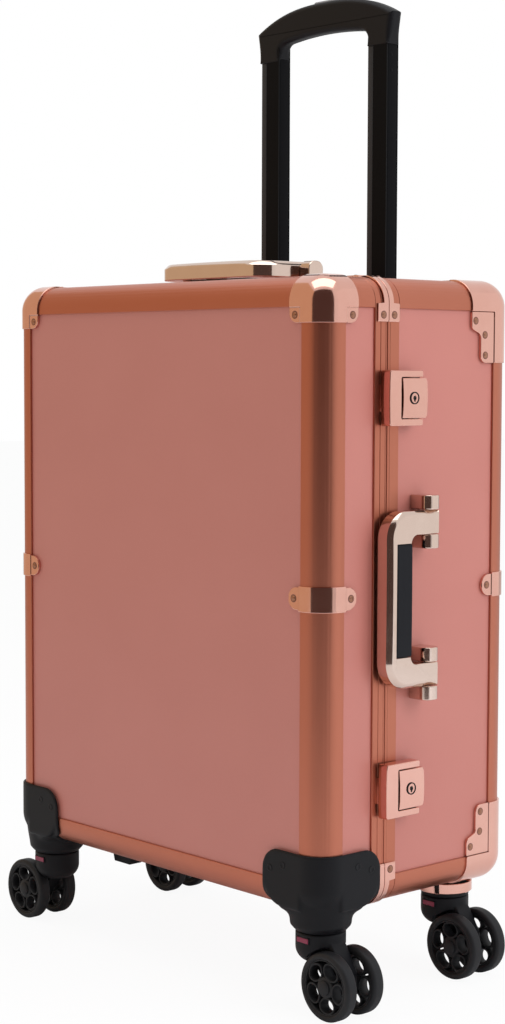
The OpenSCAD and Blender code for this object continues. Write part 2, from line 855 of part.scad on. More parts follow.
// Handle frame: bar and two arms with round pivot eyes
module handle_frame() {
    bar_y = handle_front - pivot_y;
    difference() {
        union() {
            translate([0, 0, handle_low]) linear_extrude(handle_t) difference() {
                intersection() {
                    translate([-handle_l / 2, bar_y]) square([handle_l, -bar_y]);
                    translate([0, bar_y + handle_l / 2]) rounded_rect(handle_l, handle_l, handle_r);
                }
                translate([-arm_in, bar_y + handle_bar]) square([2 * arm_in, handle_l]);
            }
            for (s = [-1, 1]) translate([s * pin_x, 0, pivot_lift])
                rotate([0, 90, 0]) cylinder(h = handle_arm, r = pivot_lift - handle_low, center = true);
        }
        translate([-handle_l, -arm_relief[0], pivot_lift + arm_relief[1]]) cube([2 * handle_l, 20, 20]);
        translate([-pad_l / 2 - 0.1, pad_front - pivot_y, handle_low - 1])
            cube([pad_l + 0.2, 40, handle_t + 2]);
        translate([0, 0, pivot_lift]) rotate([0, 90, 0])
            cylinder(h = handle_l + 20, r = handle_pin_r + run_gap, center = true);
    }
}

// Soft pad let into the grip bar
module handle_pad() {
    translate([-pad_l / 2, pad_front - pivot_y + 0.05, handle_low])
        cube([pad_l, pad_d + pad_proud, handle_t + pad_proud]);
}

// The two bracket lugs at each side of both arms
module bracket_lugs() {
    for (s = [-1, 1], x = [arm_in - lug_gap - lug_t, handle_l / 2 + lug_gap])
        translate([s > 0 ? x : -x - lug_t, 0, 0]) rotate([90, 0, 90]) difference() {
            linear_extrude(lug_t) lug_outline();
            translate([0, pivot_lift, -1]) cylinder(h = lug_t + 2, r = handle_pin_r + pin_gap);
        }
}

module lug_outline() {
    translate([-lug_d / 2, seat_gap - face_in]) square([lug_d, lug_h - lug_r + face_in - seat_gap]);
    translate([lug_r - lug_d / 2, 0]) square([lug_d - 2 * lug_r, lug_h]);
    for (s = [-1, 1]) translate([s * (lug_d / 2 - lug_r), lug_h - lug_r]) circle(lug_r);
}

module handle_brackets() color(CHAMPAGNE) placed() {
    on_side() bracket_lugs();
    on_top_face() bracket_lugs();
}

module side_handle() color(CHAMPAGNE) placed() on_side() handle_frame();
module side_handle_pad() color(BLACK) placed() on_side() handle_pad();
module top_handle() color(CHAMPAGNE) placed() on_top_face() handle_frame();
module top_handle_pad() color(BLACK) placed() on_top_face() handle_pad();

// A latch is drawn in plan, x out from the right side, y back from the front plane
module at_latch(z) translate([half_w, 0, z]) children();
module slab(h) translate([0, 0, -h / 2]) linear_extrude(h) children();
module bar_z(p, r, h) translate([p[0], p[1], 0]) cylinder(h = h, r = r, center = true);

module latch_base_plates() color(POLISHED) placed() for (z = [latch_low_z, latch_high_z]) at_latch(z) {
    slab(link_h - 4) translate([0.1, lever_pivot[1] - 3.5])
        square([latch_plate_t - 0.1, latch_plate_d]);
    difference() {
        slab(2 * ear_out) {
            translate([0.1, lever_pivot[1] - ear_r]) square([lever_pivot[0] - 0.1, 2 * ear_r]);
            translate(lever_pivot) circle(ear_r);
        }
        translate([latch_plate_t, 0, -ear_in]) cube([latch_out, case_d, 2 * ear_in]);
    }
    bar_z(lever_pivot, latch_pin_r, 2 * ear_out);
}

module latch_lever(z) color(POLISHED) placed() at_latch(z) {
    difference() {
        union() {
            slab(lever_h) translate([latch_out - lever_t, lever_pivot[1] - eye_r])
                square([lever_t, lever_end - lever_pivot[1] + eye_r]);
            slab(2 * ear_in - 0.8) {
                translate(lever_pivot) circle(eye_r);
                translate([lever_pivot[0], lever_pivot[1] - eye_r])
                    square([latch_out - lever_t - lever_pivot[0] + 0.5, 2 * eye_r]);
            }
            bar_z(link_pivot, latch_pin_r, lever_h + 6);
        }
        bar_z(lever_pivot, latch_pin_r + run_gap, 30);
        translate([latch_out - lever_t - 1, key_y, 0]) rotate([0, 90, 0])
            cylinder(h = lever_t + 3, r = key_r + run_gap);
    }
}

module latch_link(z) color(POLISHED) placed() at_latch(z) difference() {
    slab(link_h) translate([link_low, link_front]) square([latch_out - link_low, link_l]);
    translate([0, link_front + link_bridge, -link_arm_in]) cube([30, 60, 2 * link_arm_in]);
    bar_z(link_pivot, latch_pin_r + run_gap, lever_h + 7);
}

module lock_cylinder(z) color(STEEL) placed() at_latch(z) difference() {
    translate([latch_out - lever_t + 0.1, key_y, 0]) rotate([0, 90, 0])
        cylinder(h = lever_t + 0.5, r = key_r);
    translate([latch_out - 2, key_y, 1.2]) rotate([0, 90, 0]) cylinder(h = 5, r = 1.3);
    translate([latch_out - 2, key_y - 0.6, -3.4]) cube([5, 1.2, 4.6]);
}

module latch_strikes() color(POLISHED) placed() for (z = [latch_low_z, latch_high_z]) at_latch(z) {
    slab(2 * ear_out) translate([0.1, link_front]) square([fitting_t, lid_edge - link_front]);
}

// Trolley
module at_tubes(z) both_sides() translate([tube_x, channel_y, z]) children();

module trolley_channels() color(BLACK) placed() at_tubes(channel_foot)
    linear_extrude(case_h - channel_foot) difference() {
    rounded_rect(channel_w, channel_d, channel_r);
    rounded_rect(tube_w + 2 * tube_gap, tube_d + 2 * tube_gap, bore_r);
}

module trolley_bezels() color(BLACK) placed() at_tubes(case_h + 0.05) linear_extrude(bezel_h) difference() {
    rounded_rect(tube_w + 2 * bezel_rim, tube_d + 2 * bezel_rim, bezel_r);
    rounded_rect(tube_w + 2 * tube_gap, tube_d + 2 * tube_gap, bore_r);
}

module trolley_tubes() color(BLACK) placed() at_tubes(sleeve_z + pocket_up - tube_l - 0.5)
    linear_extrude(tube_l) difference() {
        rounded_rect(tube_w, tube_d, bore_r);
        rounded_rect(tube_w - 2 * tube_t, tube_d - 2 * tube_t, bore_r - tube_t);
        for (s = [-1, 1]) translate([0, s * tube_d / 2]) square([tube_w / 2, 1.2], center = true);
    }

module trolley_grip() color(BLACK) placed() {
    difference() {
        translate([0, channel_y + grip_d / 2, 0]) rotate([90, 0, 0]) linear_extrude(grip_d) difference() {
            intersection() {
                translate([-grip_half, sleeve_z]) square([2 * grip_half, 2 * grip_h]);
                translate([0, grip_top - arch_r]) circle(arch_r, $fn = 96);
            }
            translate([0, sleeve_z + grip_gap_h - 40])
                rounded_rect(2 * grip_gap_half, 80, gap_r);
        }
        at_tubes(sleeve_z - 1) linear_extrude(pocket_up + 1)
            rounded_rect(tube_w + 0.1, tube_d + 0.1, bore_r + 0.05);
        translate([0, channel_y, grip_top - button_pocket]) linear_extrude(button_pocket + 5)
            rounded_rect(button_l + 0.6, button_w + 0.6, button_w / 2 + 0.3 - 0.01);
    }
}

module trolley_button() color(GREY) placed() {
    translate([0, channel_y, grip_top - button_pocket + button_travel + 0.5])
        linear_extrude(button_pocket - button_travel + 1)
        rounded_rect(button_l, button_w, button_w / 2 - 0.01);
}

// The skid stands under the left half only
module lid_skid() color(BLACK) placed() {
    translate([-skid_x, skid_y, 0]) rotate([90, 0, 0])
        linear_extrude(skid_w, center = true) polygon([
            [-skid_l / 2, -seat_gap], [skid_l / 2, -seat_gap], [skid_l / 2 - 6, -skid_h],
            [-skid_l / 2 + 6, -skid_h]]);
}

// Casters, drawn about the swivel axis with the axle trailing along X
module at_caster(x, y, way) placed() translate([x, y, 0]) mirror([way < 0 ? 1 : 0, 0, 0]) children();

module axle_line(h, r) translate([trail, 0, -axle_drop]) rotate([90, 0, 0])
    cylinder(h = h, r = r, center = true);

module fork_shape() {
    difference() {
        union() {
            translate([0, 0, crown_low]) rotate_extrude() {
                square([crown_r - crown_edge_r, crown_h]);
                translate([0, crown_edge_r]) square([crown_r, crown_h - crown_edge_r]);
                translate([crown_r - crown_edge_r, crown_edge_r]) intersection() {
                    circle(crown_edge_r);
                    translate([0, -crown_edge_r]) square(crown_edge_r);
                }
            }
            translate([0, 0, crown_top - 1]) cylinder(h = stem_up + 1, r = stem_r);
            rotate([90, 0, 0]) linear_extrude(fork_t, center = true) {
                polygon([[-2, crown_low + 1], [-2, crown_top - web_drop],
                    [crown_r - 1, crown_top - web_drop],
                    [trail + 0.7 * fork_end_r, -axle_drop + 0.7 * fork_end_r],
                    [trail - 0.5 * fork_end_r, -axle_drop - 0.85 * fork_end_r]]);
                translate([trail, -axle_drop]) circle(fork_end_r);
            }
        }
        for (s = [-1, 1]) translate([trail, s * (fork_t / 2 + 20 + 0.1), -axle_drop]) rotate([90, 0, 0])
            cylinder(h = 40, r = wheel_clear, center = true);
        axle_line(fork_t + 10, axle_r + 0.01);
        for (s = [-1, 1]) translate([0, s * (crown_r - 0.5), crown_top - tab_drop])
            cube([tab_w + 0.1, 5, tab_h + 0.1], center = true);
    }
    color(RED) for (s = [-1, 1])
        translate([0, s * (crown_r - 0.25 - tab_t / 2), crown_top - tab_drop])
            cube([tab_w, tab_t, tab_h], center = true);
}

module axle_shape() {
    half = wheel_in + wheel_w + side_gap;
    axle_line(2 * half + 0.2, axle_r);
    for (s = [-1, 1]) translate([trail, s * (half + axle_cap / 2), -axle_drop]) rotate([90, 0, 0])
        cylinder(h = axle_cap, r = axle_r + 3, center = true);
}

// A wheel, turned about Z, with windows through its thin web
module wheel_shape() {
    difference() {
        rotate_extrude() polygon([
            [axle_r + run_gap, 0], [boss_r, 0], [boss_r, disc_in], [rim_r, disc_in],
            [rim_r, 0], [wheel_r - 1.5, 0], [wheel_r, 1.8], [wheel_r, wheel_w - 1.8],
            [wheel_r - 1.5, wheel_w], [rim_r, wheel_w], [rim_r, wheel_w - disc_in],
            [boss_r, wheel_w - disc_in], [boss_r, wheel_w], [axle_r + run_gap, wheel_w]]);
        for (k = [0:window_n - 1]) rotate(k * 360 / window_n) translate([(rim_r + boss_r) / 2, 0, -1])
            cylinder(h = wheel_w + 2, r = window_r);
    }
}

// The wheel on the far side of the fork for side 1, on the near side for side -1
module wheel_at(side) translate([trail, side * wheel_in, -axle_drop])
    rotate([side > 0 ? -90 : 90, 0, 0]) wheel_shape();

module front_right_fork() color(BLACK) at_caster(front_x, front_inset, 1) fork_shape();
module front_right_axle() color(STEEL) at_caster(front_x, front_inset, 1) axle_shape();
module front_right_outer_wheel() color(BLACK) at_caster(front_x, front_inset, 1) wheel_at(-1);
module front_right_inner_wheel() color(BLACK) at_caster(front_x, front_inset, 1) wheel_at(1);
module front_left_fork() color(BLACK) at_caster(-front_x, front_inset, -1) fork_shape();
module front_left_axle() color(STEEL) at_caster(-front_x, front_inset, -1) axle_shape();
module front_left_outer_wheel() color(BLACK) at_caster(-front_x, front_inset, -1) wheel_at(-1);
module front_left_inner_wheel() color(BLACK) at_caster(-front_x, front_inset, -1) wheel_at(1);
module rear_right_fork() color(BLACK) at_caster(rear_x, rear_y, 1) fork_shape();
module rear_right_axle() color(STEEL) at_caster(rear_x, rear_y, 1) axle_shape();
module rear_right_outer_wheel() color(BLACK) at_caster(rear_x, rear_y, 1) wheel_at(1);
module rear_right_inner_wheel() color(BLACK) at_caster(rear_x, rear_y, 1) wheel_at(-1);
module rear_left_fork() color(BLACK) at_caster(-rear_x, rear_y, -1) fork_shape();
module rear_left_axle() color(STEEL) at_caster(-rear_x, rear_y, -1) axle_shape();
module rear_left_outer_wheel() color(BLACK) at_caster(-rear_x, rear_y, -1) wheel_at(1);
module rear_left_inner_wheel() color(BLACK) at_caster(-rear_x, rear_y, -1) wheel_at(-1);

back_panel();
base_side_panels();
base_edge_profiles();
base_rim_profile();
rear_corner_plates();
base_clips();
base_rivets();
base_lining();
trolley_cover_board();
divider_shelves();
rear_caster_mounts();
base_hinge_leaves();
pivot_pins();
handle_brackets();
trolley_channels();
trolley_bezels();
latch_base_plates();
front_panel();
lid_side_panels();
lid_edge_profiles();
lid_rim_profile();
ball_corners();
lid_clips();
lid_rivets();
lid_lining();
lid_mirror();  // mirror
caster_guards();
lid_hinge_leaves();
latch_strikes();
lid_skid();
trolley_tubes();
trolley_grip();
trolley_button();
side_handle();
side_handle_pad();
top_handle();
top_handle_pad();
latch_lever(latch_high_z);  // upper_latch_lever
latch_lever(latch_low_z);  // lower_latch_lever
latch_link(latch_high_z);  // upper_latch_link
latch_link(latch_low_z);  // lower_latch_link
lock_cylinder(latch_high_z);  // upper_lock_cylinder
lock_cylinder(latch_low_z);  // lower_lock_cylinder
front_right_fork();
front_right_axle();
front_right_outer_wheel();
front_right_inner_wheel();
front_left_fork();
front_left_axle();
front_left_outer_wheel();
front_left_inner_wheel();
rear_right_fork();
rear_right_axle();
rear_right_outer_wheel();
rear_right_inner_wheel();
rear_left_fork();
rear_left_axle();
rear_left_outer_wheel();
rear_left_inner_wheel();
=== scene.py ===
"""Rolling makeup case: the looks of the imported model.

Shapes are worked out in millimetres in the case's own frame: x from the middle, y back from the
front plane, z up from the case bottom. to_row() turns them into the row frame, in metres.
"""
import math

import bmesh
import bpy
import numpy as np
from mathutils import Matrix, Vector


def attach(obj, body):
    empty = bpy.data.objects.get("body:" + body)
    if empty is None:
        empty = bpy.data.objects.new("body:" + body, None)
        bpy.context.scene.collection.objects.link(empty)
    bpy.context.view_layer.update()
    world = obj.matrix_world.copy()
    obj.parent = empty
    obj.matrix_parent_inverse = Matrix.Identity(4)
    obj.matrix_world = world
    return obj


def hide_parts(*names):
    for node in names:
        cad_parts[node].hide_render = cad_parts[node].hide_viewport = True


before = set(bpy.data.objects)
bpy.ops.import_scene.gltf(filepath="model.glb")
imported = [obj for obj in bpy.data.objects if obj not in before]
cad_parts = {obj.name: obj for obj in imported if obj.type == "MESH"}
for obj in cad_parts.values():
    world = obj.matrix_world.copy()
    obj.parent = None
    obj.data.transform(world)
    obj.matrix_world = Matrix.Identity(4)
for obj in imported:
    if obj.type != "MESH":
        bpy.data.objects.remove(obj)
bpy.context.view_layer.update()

# Sizes of the case, in millimetres
HALF_W = 230.0
CASE_D = 250.0
CASE_H = 570.0
CASE_Z = 92.0
EDGE_R = 24.0
EDGE_W = 28.0
SKIN = 2.0
SLOT = 4.2
INNER = 7.8
SLOT_IN = 22.5
CORNER_GAP = 28.2
LID_EDGE = 79.85
BASE_EDGE = 80.15
LID_RIM = 64.0
BASE_RIM = 95.0
FITTING = 1.6
FLAT = 0.15
STEP = 0.6
PANEL_DROP = 1.9
TROLLEY_Y = 225.5
SLEEVE_Z = 806.0
TUBE_HALF = 13.9
TUBE_DEPTH = 13.6
TUBE_X = 78.0
TUBE_FOOT = 320.5
TUBE_TOP = 820.5
SWIVEL_IN = 30.0
REAR_SWIVEL = (188.0, 208.0)
HANDLE_Z = 281.0
LATCHES = (("upper", 462), ("lower", 108))

# Directions, for the rules that lay parts out
X, Y, Z = np.eye(3)


def to_row(points):
    return (np.asarray(points, float) + [0.0, -CASE_D / 2, CASE_Z]) / 1000.0


# Materials


def linear(code):
    """A linear colour from an sRGB hex value."""
    value = [int(code[i:i + 2], 16) / 255 for i in (1, 3, 5)]
    return [c / 12.92 if c <= 0.04045 else ((c + 0.055) / 1.055) ** 2.4 for c in value] + [1.0]


def given(item, **settings):
    """The item with its settings made."""
    for key, value in settings.items():
        setattr(item, key, value)
    return item


def feed(tree, node, inputs):
    """Fills sockets by name or number: a value, an output, or a node for its first output."""
    for key, value in inputs.items():
        if isinstance(value, bpy.types.Node):
            value = value.outputs[0]
        if isinstance(value, bpy.types.NodeSocket):
            tree.links.new(value, node.inputs[key])
        else:
            node.inputs[key].default_value = value
    return node


def add(tree, kind, inputs=(), **settings):
    """Adds a node with its settings and fills its sockets."""
    return feed(tree, given(tree.nodes.new(kind), **settings), dict(inputs))


def maths(tree, operation, first, second):
    return add(tree, "ShaderNodeMath", {0: first, 1: second}, operation=operation)


def ramp(tree, factor, stops):
    """A colour ramp whose stops are (place, hex colour)."""
    node = add(tree, "ShaderNodeValToRGB", {0: factor})
    points = node.color_ramp.elements
    while len(points) < len(stops):
        points.new(0.5)
    for point, (place, code) in zip(points, stops):
        point.position = place
        point.color = linear(code)
    return node.outputs[0]


def new_material(name):
    material = bpy.data.materials.new(name)
    material.use_nodes = True
    return material, material.node_tree


def finish_of(name, tones, roughness, pattern, bump, stretch=(1, 1, 1), **values):
    """A material whose colour, roughness and bump follow a fine noise; a broad one shifts the colour.

    tones: two hex colours. roughness: its two ends. pattern: size of the noise in millimetres.
    bump: height in millimetres. stretch: how much longer the pattern runs along x, y and z.
    """
    material, tree = new_material(name)
    place = add(tree, "ShaderNodeTexCoord").outputs["Object"]
    scaled = add(tree, "ShaderNodeMapping", {"Vector": place, "Scale": [1000 / pattern / s for s in stretch]})
    fine = add(tree, "ShaderNodeTexNoise", {"Vector": scaled, "Scale": 1.0, "Detail": 3.0})
    broad = add(tree, "ShaderNodeTexNoise", {"Vector": place, "Scale": 9.0, "Detail": 2.0})
    mixed = maths(tree, "MULTIPLY", maths(tree, "ADD", fine, broad), 0.5)
    rough = add(tree, "ShaderNodeMapRange", {"Value": fine, "From Min": 0.3, "From Max": 0.7,
                                             "To Min": roughness[0], "To Max": roughness[1]})
    feed(tree, tree.nodes["Principled BSDF"], {
        "Base Color": ramp(tree, mixed, [(0.3, tones[0]), (0.7, tones[1])]), "Roughness": rough,
        "Normal": add(tree, "ShaderNodeBump", {"Height": fine, "Distance": bump / 1000, "Strength": 1.0}),
        **{key.replace("_", " "): value for key, value in values.items()}})
    return material


# Laminated panel: a satin foil over board, with a faint orange-peel surface
PANEL = finish_of("satin foil laminate", ("#bf7367", "#c4786c"), (0.40, 0.48), 0.9, 0.004,
                  Coat_Weight=0.12, Coat_Roughness=0.3)
# Extruded profiles: anodised aluminium with a fine even grain
PROFILE = finish_of("satin anodised aluminium", ("#ba725c", "#be7660"), (0.38, 0.43), 0.5, 0.001,
                    Metallic=1.0)
# Pressed corners, clips and latches: polished plating, with faint pressing waves
PLATED = finish_of("polished copper plating", ("#dba697", "#e0ae9f"), (0.10, 0.15), 14.0, 0.01, Metallic=1.0)
# Carry handles and their lugs: paler polished plating
CHAMPAGNE = finish_of("polished champagne plating", ("#d2bbae", "#d7c1b4"), (0.09, 0.14), 14.0, 0.01,
                      Metallic=1.0)
# Guards, forks and grip: moulded plastic with a fine spark-eroded grain
MOULDED = finish_of("moulded black plastic", ("#0d0d10", "#121216"), (0.46, 0.58), 0.45, 0.03,
                    Specular_IOR_Level=0.2)
# Trolley tubes: black anodised aluminium, drawn along their length
TUBE = finish_of("black anodised aluminium", ("#0a0a0c", "#0f0f11"), (0.30, 0.40), 0.6, 0.003,
                 stretch=(1, 1, 40), Specular_IOR_Level=0.05)
# The raised strips of the tubes: a lighter tone, painted sheen
TUBE_STRIP_SHEEN = finish_of("black aluminium with painted sheen", ("#2b2b2d", "#323234"), (0.34, 0.44), 0.6, 0.003,
                       stretch=(1, 1, 40), Specular_IOR_Level=0.2)
# Wheels and axle caps: soft polyurethane
TYRE = finish_of("black polyurethane", ("#161618", "#1d1d20"), (0.50, 0.64), 0.8, 0.02,
                 Specular_IOR_Level=0.3)
# Pads of the carry handles: embossed leatherette
PAD = finish_of("black leatherette", ("#101014", "#17171c"), (0.42, 0.60), 1.1, 0.09,
                Specular_IOR_Level=0.15)
# Release tabs on the caster forks: glossy moulded plastic
TAB = finish_of("red moulded plastic", ("#7c1236", "#84183c"), (0.30, 0.36), 2.0, 0.005)
# Push button: grey moulded plastic
BUTTON = finish_of("grey moulded plastic", ("#8a878a", "#929093"), (0.34, 0.42), 1.0, 0.005)
# Inside: flocked lining with a short pile
LINING = finish_of("flocked lining", ("#241e21", "#332a2e"), (0.85, 0.95), 0.7, 0.12, Sheen_Weight=0.6,
                   Sheen_Roughness=0.4)
# Shelves and the cover board: black leatherette over board
BOARD = finish_of("grained black board", ("#1f1b1d", "#2a2527"), (0.5, 0.65), 1.2, 0.06)
# Mirror: silvered glass
MIRROR = finish_of("silvered glass", ("#dfe6e8", "#e4eaec"), (0.015, 0.03), 60.0, 0.001, Metallic=1.0)
# Pins and axles: zinc-plated steel, turned
STEEL = finish_of("zinc plated steel", ("#8c8a8c", "#989698"), (0.26, 0.36), 0.8, 0.006, Metallic=1.0)
# Keyways, the room behind the levers, and the slits of the mounts
SHADOW = finish_of("unlit black recess", ("#0c0706", "#120b0a"), (0.7, 0.8), 1.0, 0.01)
# Rivets: copper, darker than the plating
RIVET = finish_of("burnished copper", ("#9c705b", "#a87a64"), (0.28, 0.4), 1.5, 0.02, Metallic=1.0)
# Pressed lines of the ball corners: a light painted shade along each line
FOLD_SHADE = finish_of("shaded copper fold", ("#c48f7d", "#cc9886"), (0.4, 0.5), 1.0, 0.01)
# Painted shade along the pressed lines of the other fittings and round the rivet heads
CREASE_SHADE = finish_of("painted crease shade", ("#63352a", "#6e3d31"), (0.4, 0.5), 1.0, 0.01)


# Mesh building: a part is a pair of points and faces, in millimetres, and a rule changes points


def loft(rings, closed=False):
    """Skins the rings in turn; the two ends are capped unless the rings close on themselves."""
    n = len(rings[0])
    count = len(rings)
    faces = []
    for i in range(count if closed else count - 1):
        a, b = i * n, (i + 1) % count * n
        faces += [(a + j, a + (j + 1) % n, b + (j + 1) % n, b + j) for j in range(n)]
    if not closed:
        faces.append(tuple(range(n))[::-1])
        faces.append(tuple(range((count - 1) * n, count * n)))
    return np.concatenate([np.asarray(r, float) for r in rings]), faces


def moved(part, rule):
    """The part with every point changed by a rule."""
    return rule(part[0]), part[1]


def basis(origin, u, v, w):
    """A rule that lays local x, y and z along u, v and w from origin."""
    return lambda p: np.asarray(p) @ np.array([u, v, w], float) + np.asarray(origin, float)


def shift(x, y, z):
    return basis((x, y, z), X, Y, Z)


def spin(angle):
    """A rule that turns about local z, in degrees."""
    c, s = math.cos(math.radians(angle)), math.sin(math.radians(angle))
    return basis((0, 0, 0), (c, s, 0), (-s, c, 0), Z)


def copies(parts, *rules):
    """The (material, part) pairs, laid out once by each rule."""
    return [(material, moved(part, rule)) for rule in rules for material, part in parts]


def around(steps):
    """Angles evenly round a full turn."""
    return np.linspace(0, 2 * math.pi, steps, endpoint=False)


def turned(profile, steps, closed=False):
    """A lathe about local z; profile holds (radius, height)."""
    t = around(steps)
    ring = np.stack([np.cos(t), np.sin(t), 0 * t], 1)
    return loft([ring * [r, r, 0] + [0, 0, h] for r, h in profile], closed)


def rounded(points, radii, step, spacing=1e9, closed=True):
    """A 2D outline with its corners rounded and its long runs divided."""
    points = np.asarray(points, float)
    radii = np.broadcast_to(radii, len(points))
    out = []
    for i, (p, r) in enumerate(zip(points, radii)):
        if not closed and i in (0, len(points) - 1) or r == 0:
            out.append(p[None])
            continue
        a, b = points[i - 1] - p, points[(i + 1) % len(points)] - p
        a, b = a / np.hypot(*a), b / np.hypot(*b)
        bend = math.acos(max(-1, min(1, float(a @ b))))
        away = r / math.tan(bend / 2)
        middle = p + (a + b) / np.hypot(*(a + b)) * r / math.sin(bend / 2)
        start, end = p + a * away - middle, p + b * away - middle
        sweep = math.pi - bend
        turn = np.sign(start[0] * end[1] - start[1] * end[0])
        t = np.linspace(0, sweep, max(3, int(r * sweep / step) + 1)) * turn
        out.append(middle + np.stack([start[0] * np.cos(t) - start[1] * np.sin(t),
                                      start[0] * np.sin(t) + start[1] * np.cos(t)], 1))
    path = np.concatenate(out)
    if closed:
        path = np.concatenate([path, path[:1]])
    full = [path[:1]]
    for p, q in zip(path[:-1], path[1:]):
        n = max(1, math.ceil(np.hypot(*(q - p)) / spacing))
        full.append(p + (q - p) * (np.arange(1, n + 1) / n)[:, None])
    path = np.concatenate(full)
    return path[:-1] if closed else path


def rect(x0, y0, x1, y1, radii, step, spacing=1e9):
    """A rectangle's outline with rounded corners."""
    return rounded([(x0, y0), (x1, y0), (x1, y1), (x0, y1)], radii, step, spacing)


def arc(x, y, r, start, end, count):
    """Points at a radius from a middle, between two angles in degrees."""
    return [(x + r * math.cos(t), y + r * math.sin(t)) for t in np.radians(np.linspace(start, end, count))]


def inset(loop, depth):
    """A closed outline moved inwards by a depth, which may differ from point to point."""
    edge = np.roll(loop, -1, 0) - loop
    edge /= np.maximum(np.hypot(edge[:, 0], edge[:, 1]), 1e-9)[:, None]
    normal = np.stack([edge[:, 1], -edge[:, 0]], 1)
    before = np.roll(normal, 1, 0)
    mitre = (normal + before) / (1 + (normal * before).sum(1))[:, None]
    area = (loop[:, 0] * np.roll(loop[:, 1], -1) - loop[:, 1] * np.roll(loop[:, 0], -1)).sum()
    return loop - np.sign(area) * mitre * np.reshape(depth, (-1, 1))


def layers(loop, rows):
    """Rings from an outline; rows hold (distance inwards, height)."""
    return [np.column_stack([inset(loop, d), np.broadcast_to(z, len(loop))]) for d, z in rows]


def plate(loop, z0, z1, top, bottom, steps=4):
    """A slab over an outline, with rounded rims; top and bottom may differ from point to point.

    The outline's own corners are rounder than the rims. Rings close to the rims keep faces and walls flat.
    """
    loop, top, bottom = (np.asarray(v, float) for v in (loop, top, bottom))
    bend = np.linspace(0, math.pi / 2, steps)
    rows = [(bottom * (1 - math.sin(t)), z0 + bottom * (1 - math.cos(t))) for t in bend]
    rows += [(top * (1 - math.cos(t)), z1 - top * (1 - math.sin(t))) for t in bend]
    if np.min(z1 - z0 - top - bottom) > 3 * FLAT:
        rows[steps:steps] = [(0, z0 + bottom + FLAT), (0, z1 - top - FLAT)]
    return loft(layers(loop, [(bottom + FLAT, z0)] + rows + [(top + FLAT, z1)]))


def block(size, edge):
    """A box about the origin, standing on z 0, with rounded edges."""
    a, b = size[0] / 2, size[1] / 2
    return plate(rect(-a, -b, a, b, edge * 1.2 + FLAT, 0.5), 0, size[2], edge, edge)


def wrap(points, height):
    """Lays points of a cube's three faces at a corner onto the rounded case corner."""
    points = np.asarray(points, float)
    centre = np.maximum(points, EDGE_R)
    out = points - centre
    out /= np.linalg.norm(out, axis=1)[:, None]
    return centre + out * (EDGE_R + np.reshape(height, (-1, 1)))


def at_corner(side, back, top):
    """A rule from distances inside a corner's three planes to the case frame."""
    def rule(p):
        x = side * (HALF_W - p[:, 0])
        y = CASE_D - p[:, 1] if back else p[:, 1]
        z = CASE_H - p[:, 2] if top else p[:, 2]
        return np.stack([x, y, z], 1)
    return rule


def smooth_step(value, low, high):
    t = np.clip((value - low) / (high - low), 0, 1)
    return t * t * (3 - 2 * t)


def corner_fitting(side_path, face_path, level_path, thick, spacing=1.4, edge=0.5):
    """A pressed corner over three faces. Each path runs on one face from one case edge to the next."""
    def laid(path, columns):
        full = rounded(*path, 0.9, spacing, closed=False)
        points, outward = np.zeros((2, len(full), 3))
        points[:, columns] = full
        tangent = np.gradient(full, axis=0)
        normal = np.stack([tangent[:, 1], -tangent[:, 0]], 1)
        normal /= np.hypot(normal[:, 0], normal[:, 1])[:, None]
        normal *= np.sign((normal * full).sum(1))[:, None]
        normal[0], normal[-1] = [1, 0], [0, 1]
        outward[:, columns] = normal
        return points[:-1], outward[:-1]
    pieces = [laid(side_path, (1, 2)), laid(face_path, (2, 0)), laid(level_path, (0, 1))]
    loop = np.concatenate([p for p, _ in pieces])
    outward = np.concatenate([n for _, n in pieces])
    rings = [wrap(loop * s, 0.05) for s in np.linspace(0.02, 1, 8)]
    for t in np.linspace(0, math.pi / 2, 4):
        rings.append(wrap(loop - outward * edge * (1 - math.cos(t)), thick - edge * (1 - math.sin(t))))
    inner = loop - outward * (edge + FLAT)
    rings += [wrap(inner * s, thick) for s in np.linspace(1, 0.004, int(np.abs(loop).max() / spacing))]
    return loft(rings)


def on_faces(outline, make):
    """A flat part laid on the side, front and level face at a corner; outlines are turned with the faces."""
    parts = []
    for first, second, third in ((1, 2, 0), (2, 0, 1), (0, 1, 2)):
        axes = np.zeros((3, 3))
        axes[0, first], axes[1, second], axes[2, third] = 1, 1, -1
        parts.append(moved(make(outline(third)), basis((0, 0, 0), *axes)))
    return parts


def strap(stations, sunk=True):
    """A band round an edge, alike on both faces.

    stations hold (distance from the edge, low, high, thickness) on one face. A sunk band steps down past the
    profile and reaches to the panel below it.
    """
    edge = 0.4
    rings = []
    stations = [(-s, *rest) for s, *rest in stations[:0:-1]] + stations
    for s, low, high, thick in stations:
        rim = [0, 0, edge * 0.3, edge, edge + FLAT]
        v = np.array([low + r for r in rim] + [high - r for r in rim[::-1]])
        up = [0.03, thick - edge, thick - edge * 0.3, thick, thick]
        h = np.array(up + up[::-1])
        corner = np.tile([s, 0, 500.0] if s >= 0 else [0, -s, 500.0], (len(v), 1))
        if sunk:
            past = smooth_step(abs(s), EDGE_W + 0.2, EDGE_W + 0.8)
            h[1:-1] -= STEP * past
            h[[0, -1]] -= PANEL_DROP * past
        point = wrap(corner, h)
        point[:, 2] = v
        rings.append(point)
    return loft(rings)


def linked(name, data):
    """A new object in the scene."""
    result = bpy.data.objects.new(name, data)
    bpy.context.scene.collection.objects.link(result)
    return result


def welded(mesh, step):
    """Merges the mesh's doubles and takes one more step on it."""
    work = bmesh.new()
    work.from_mesh(mesh)
    bmesh.ops.remove_doubles(work, verts=work.verts, dist=1e-6)
    step(work)
    work.to_mesh(mesh)
    work.free()
    return mesh


def modify(item, kind, **settings):
    return given(item.modifiers.new(kind.lower(), kind), **settings)


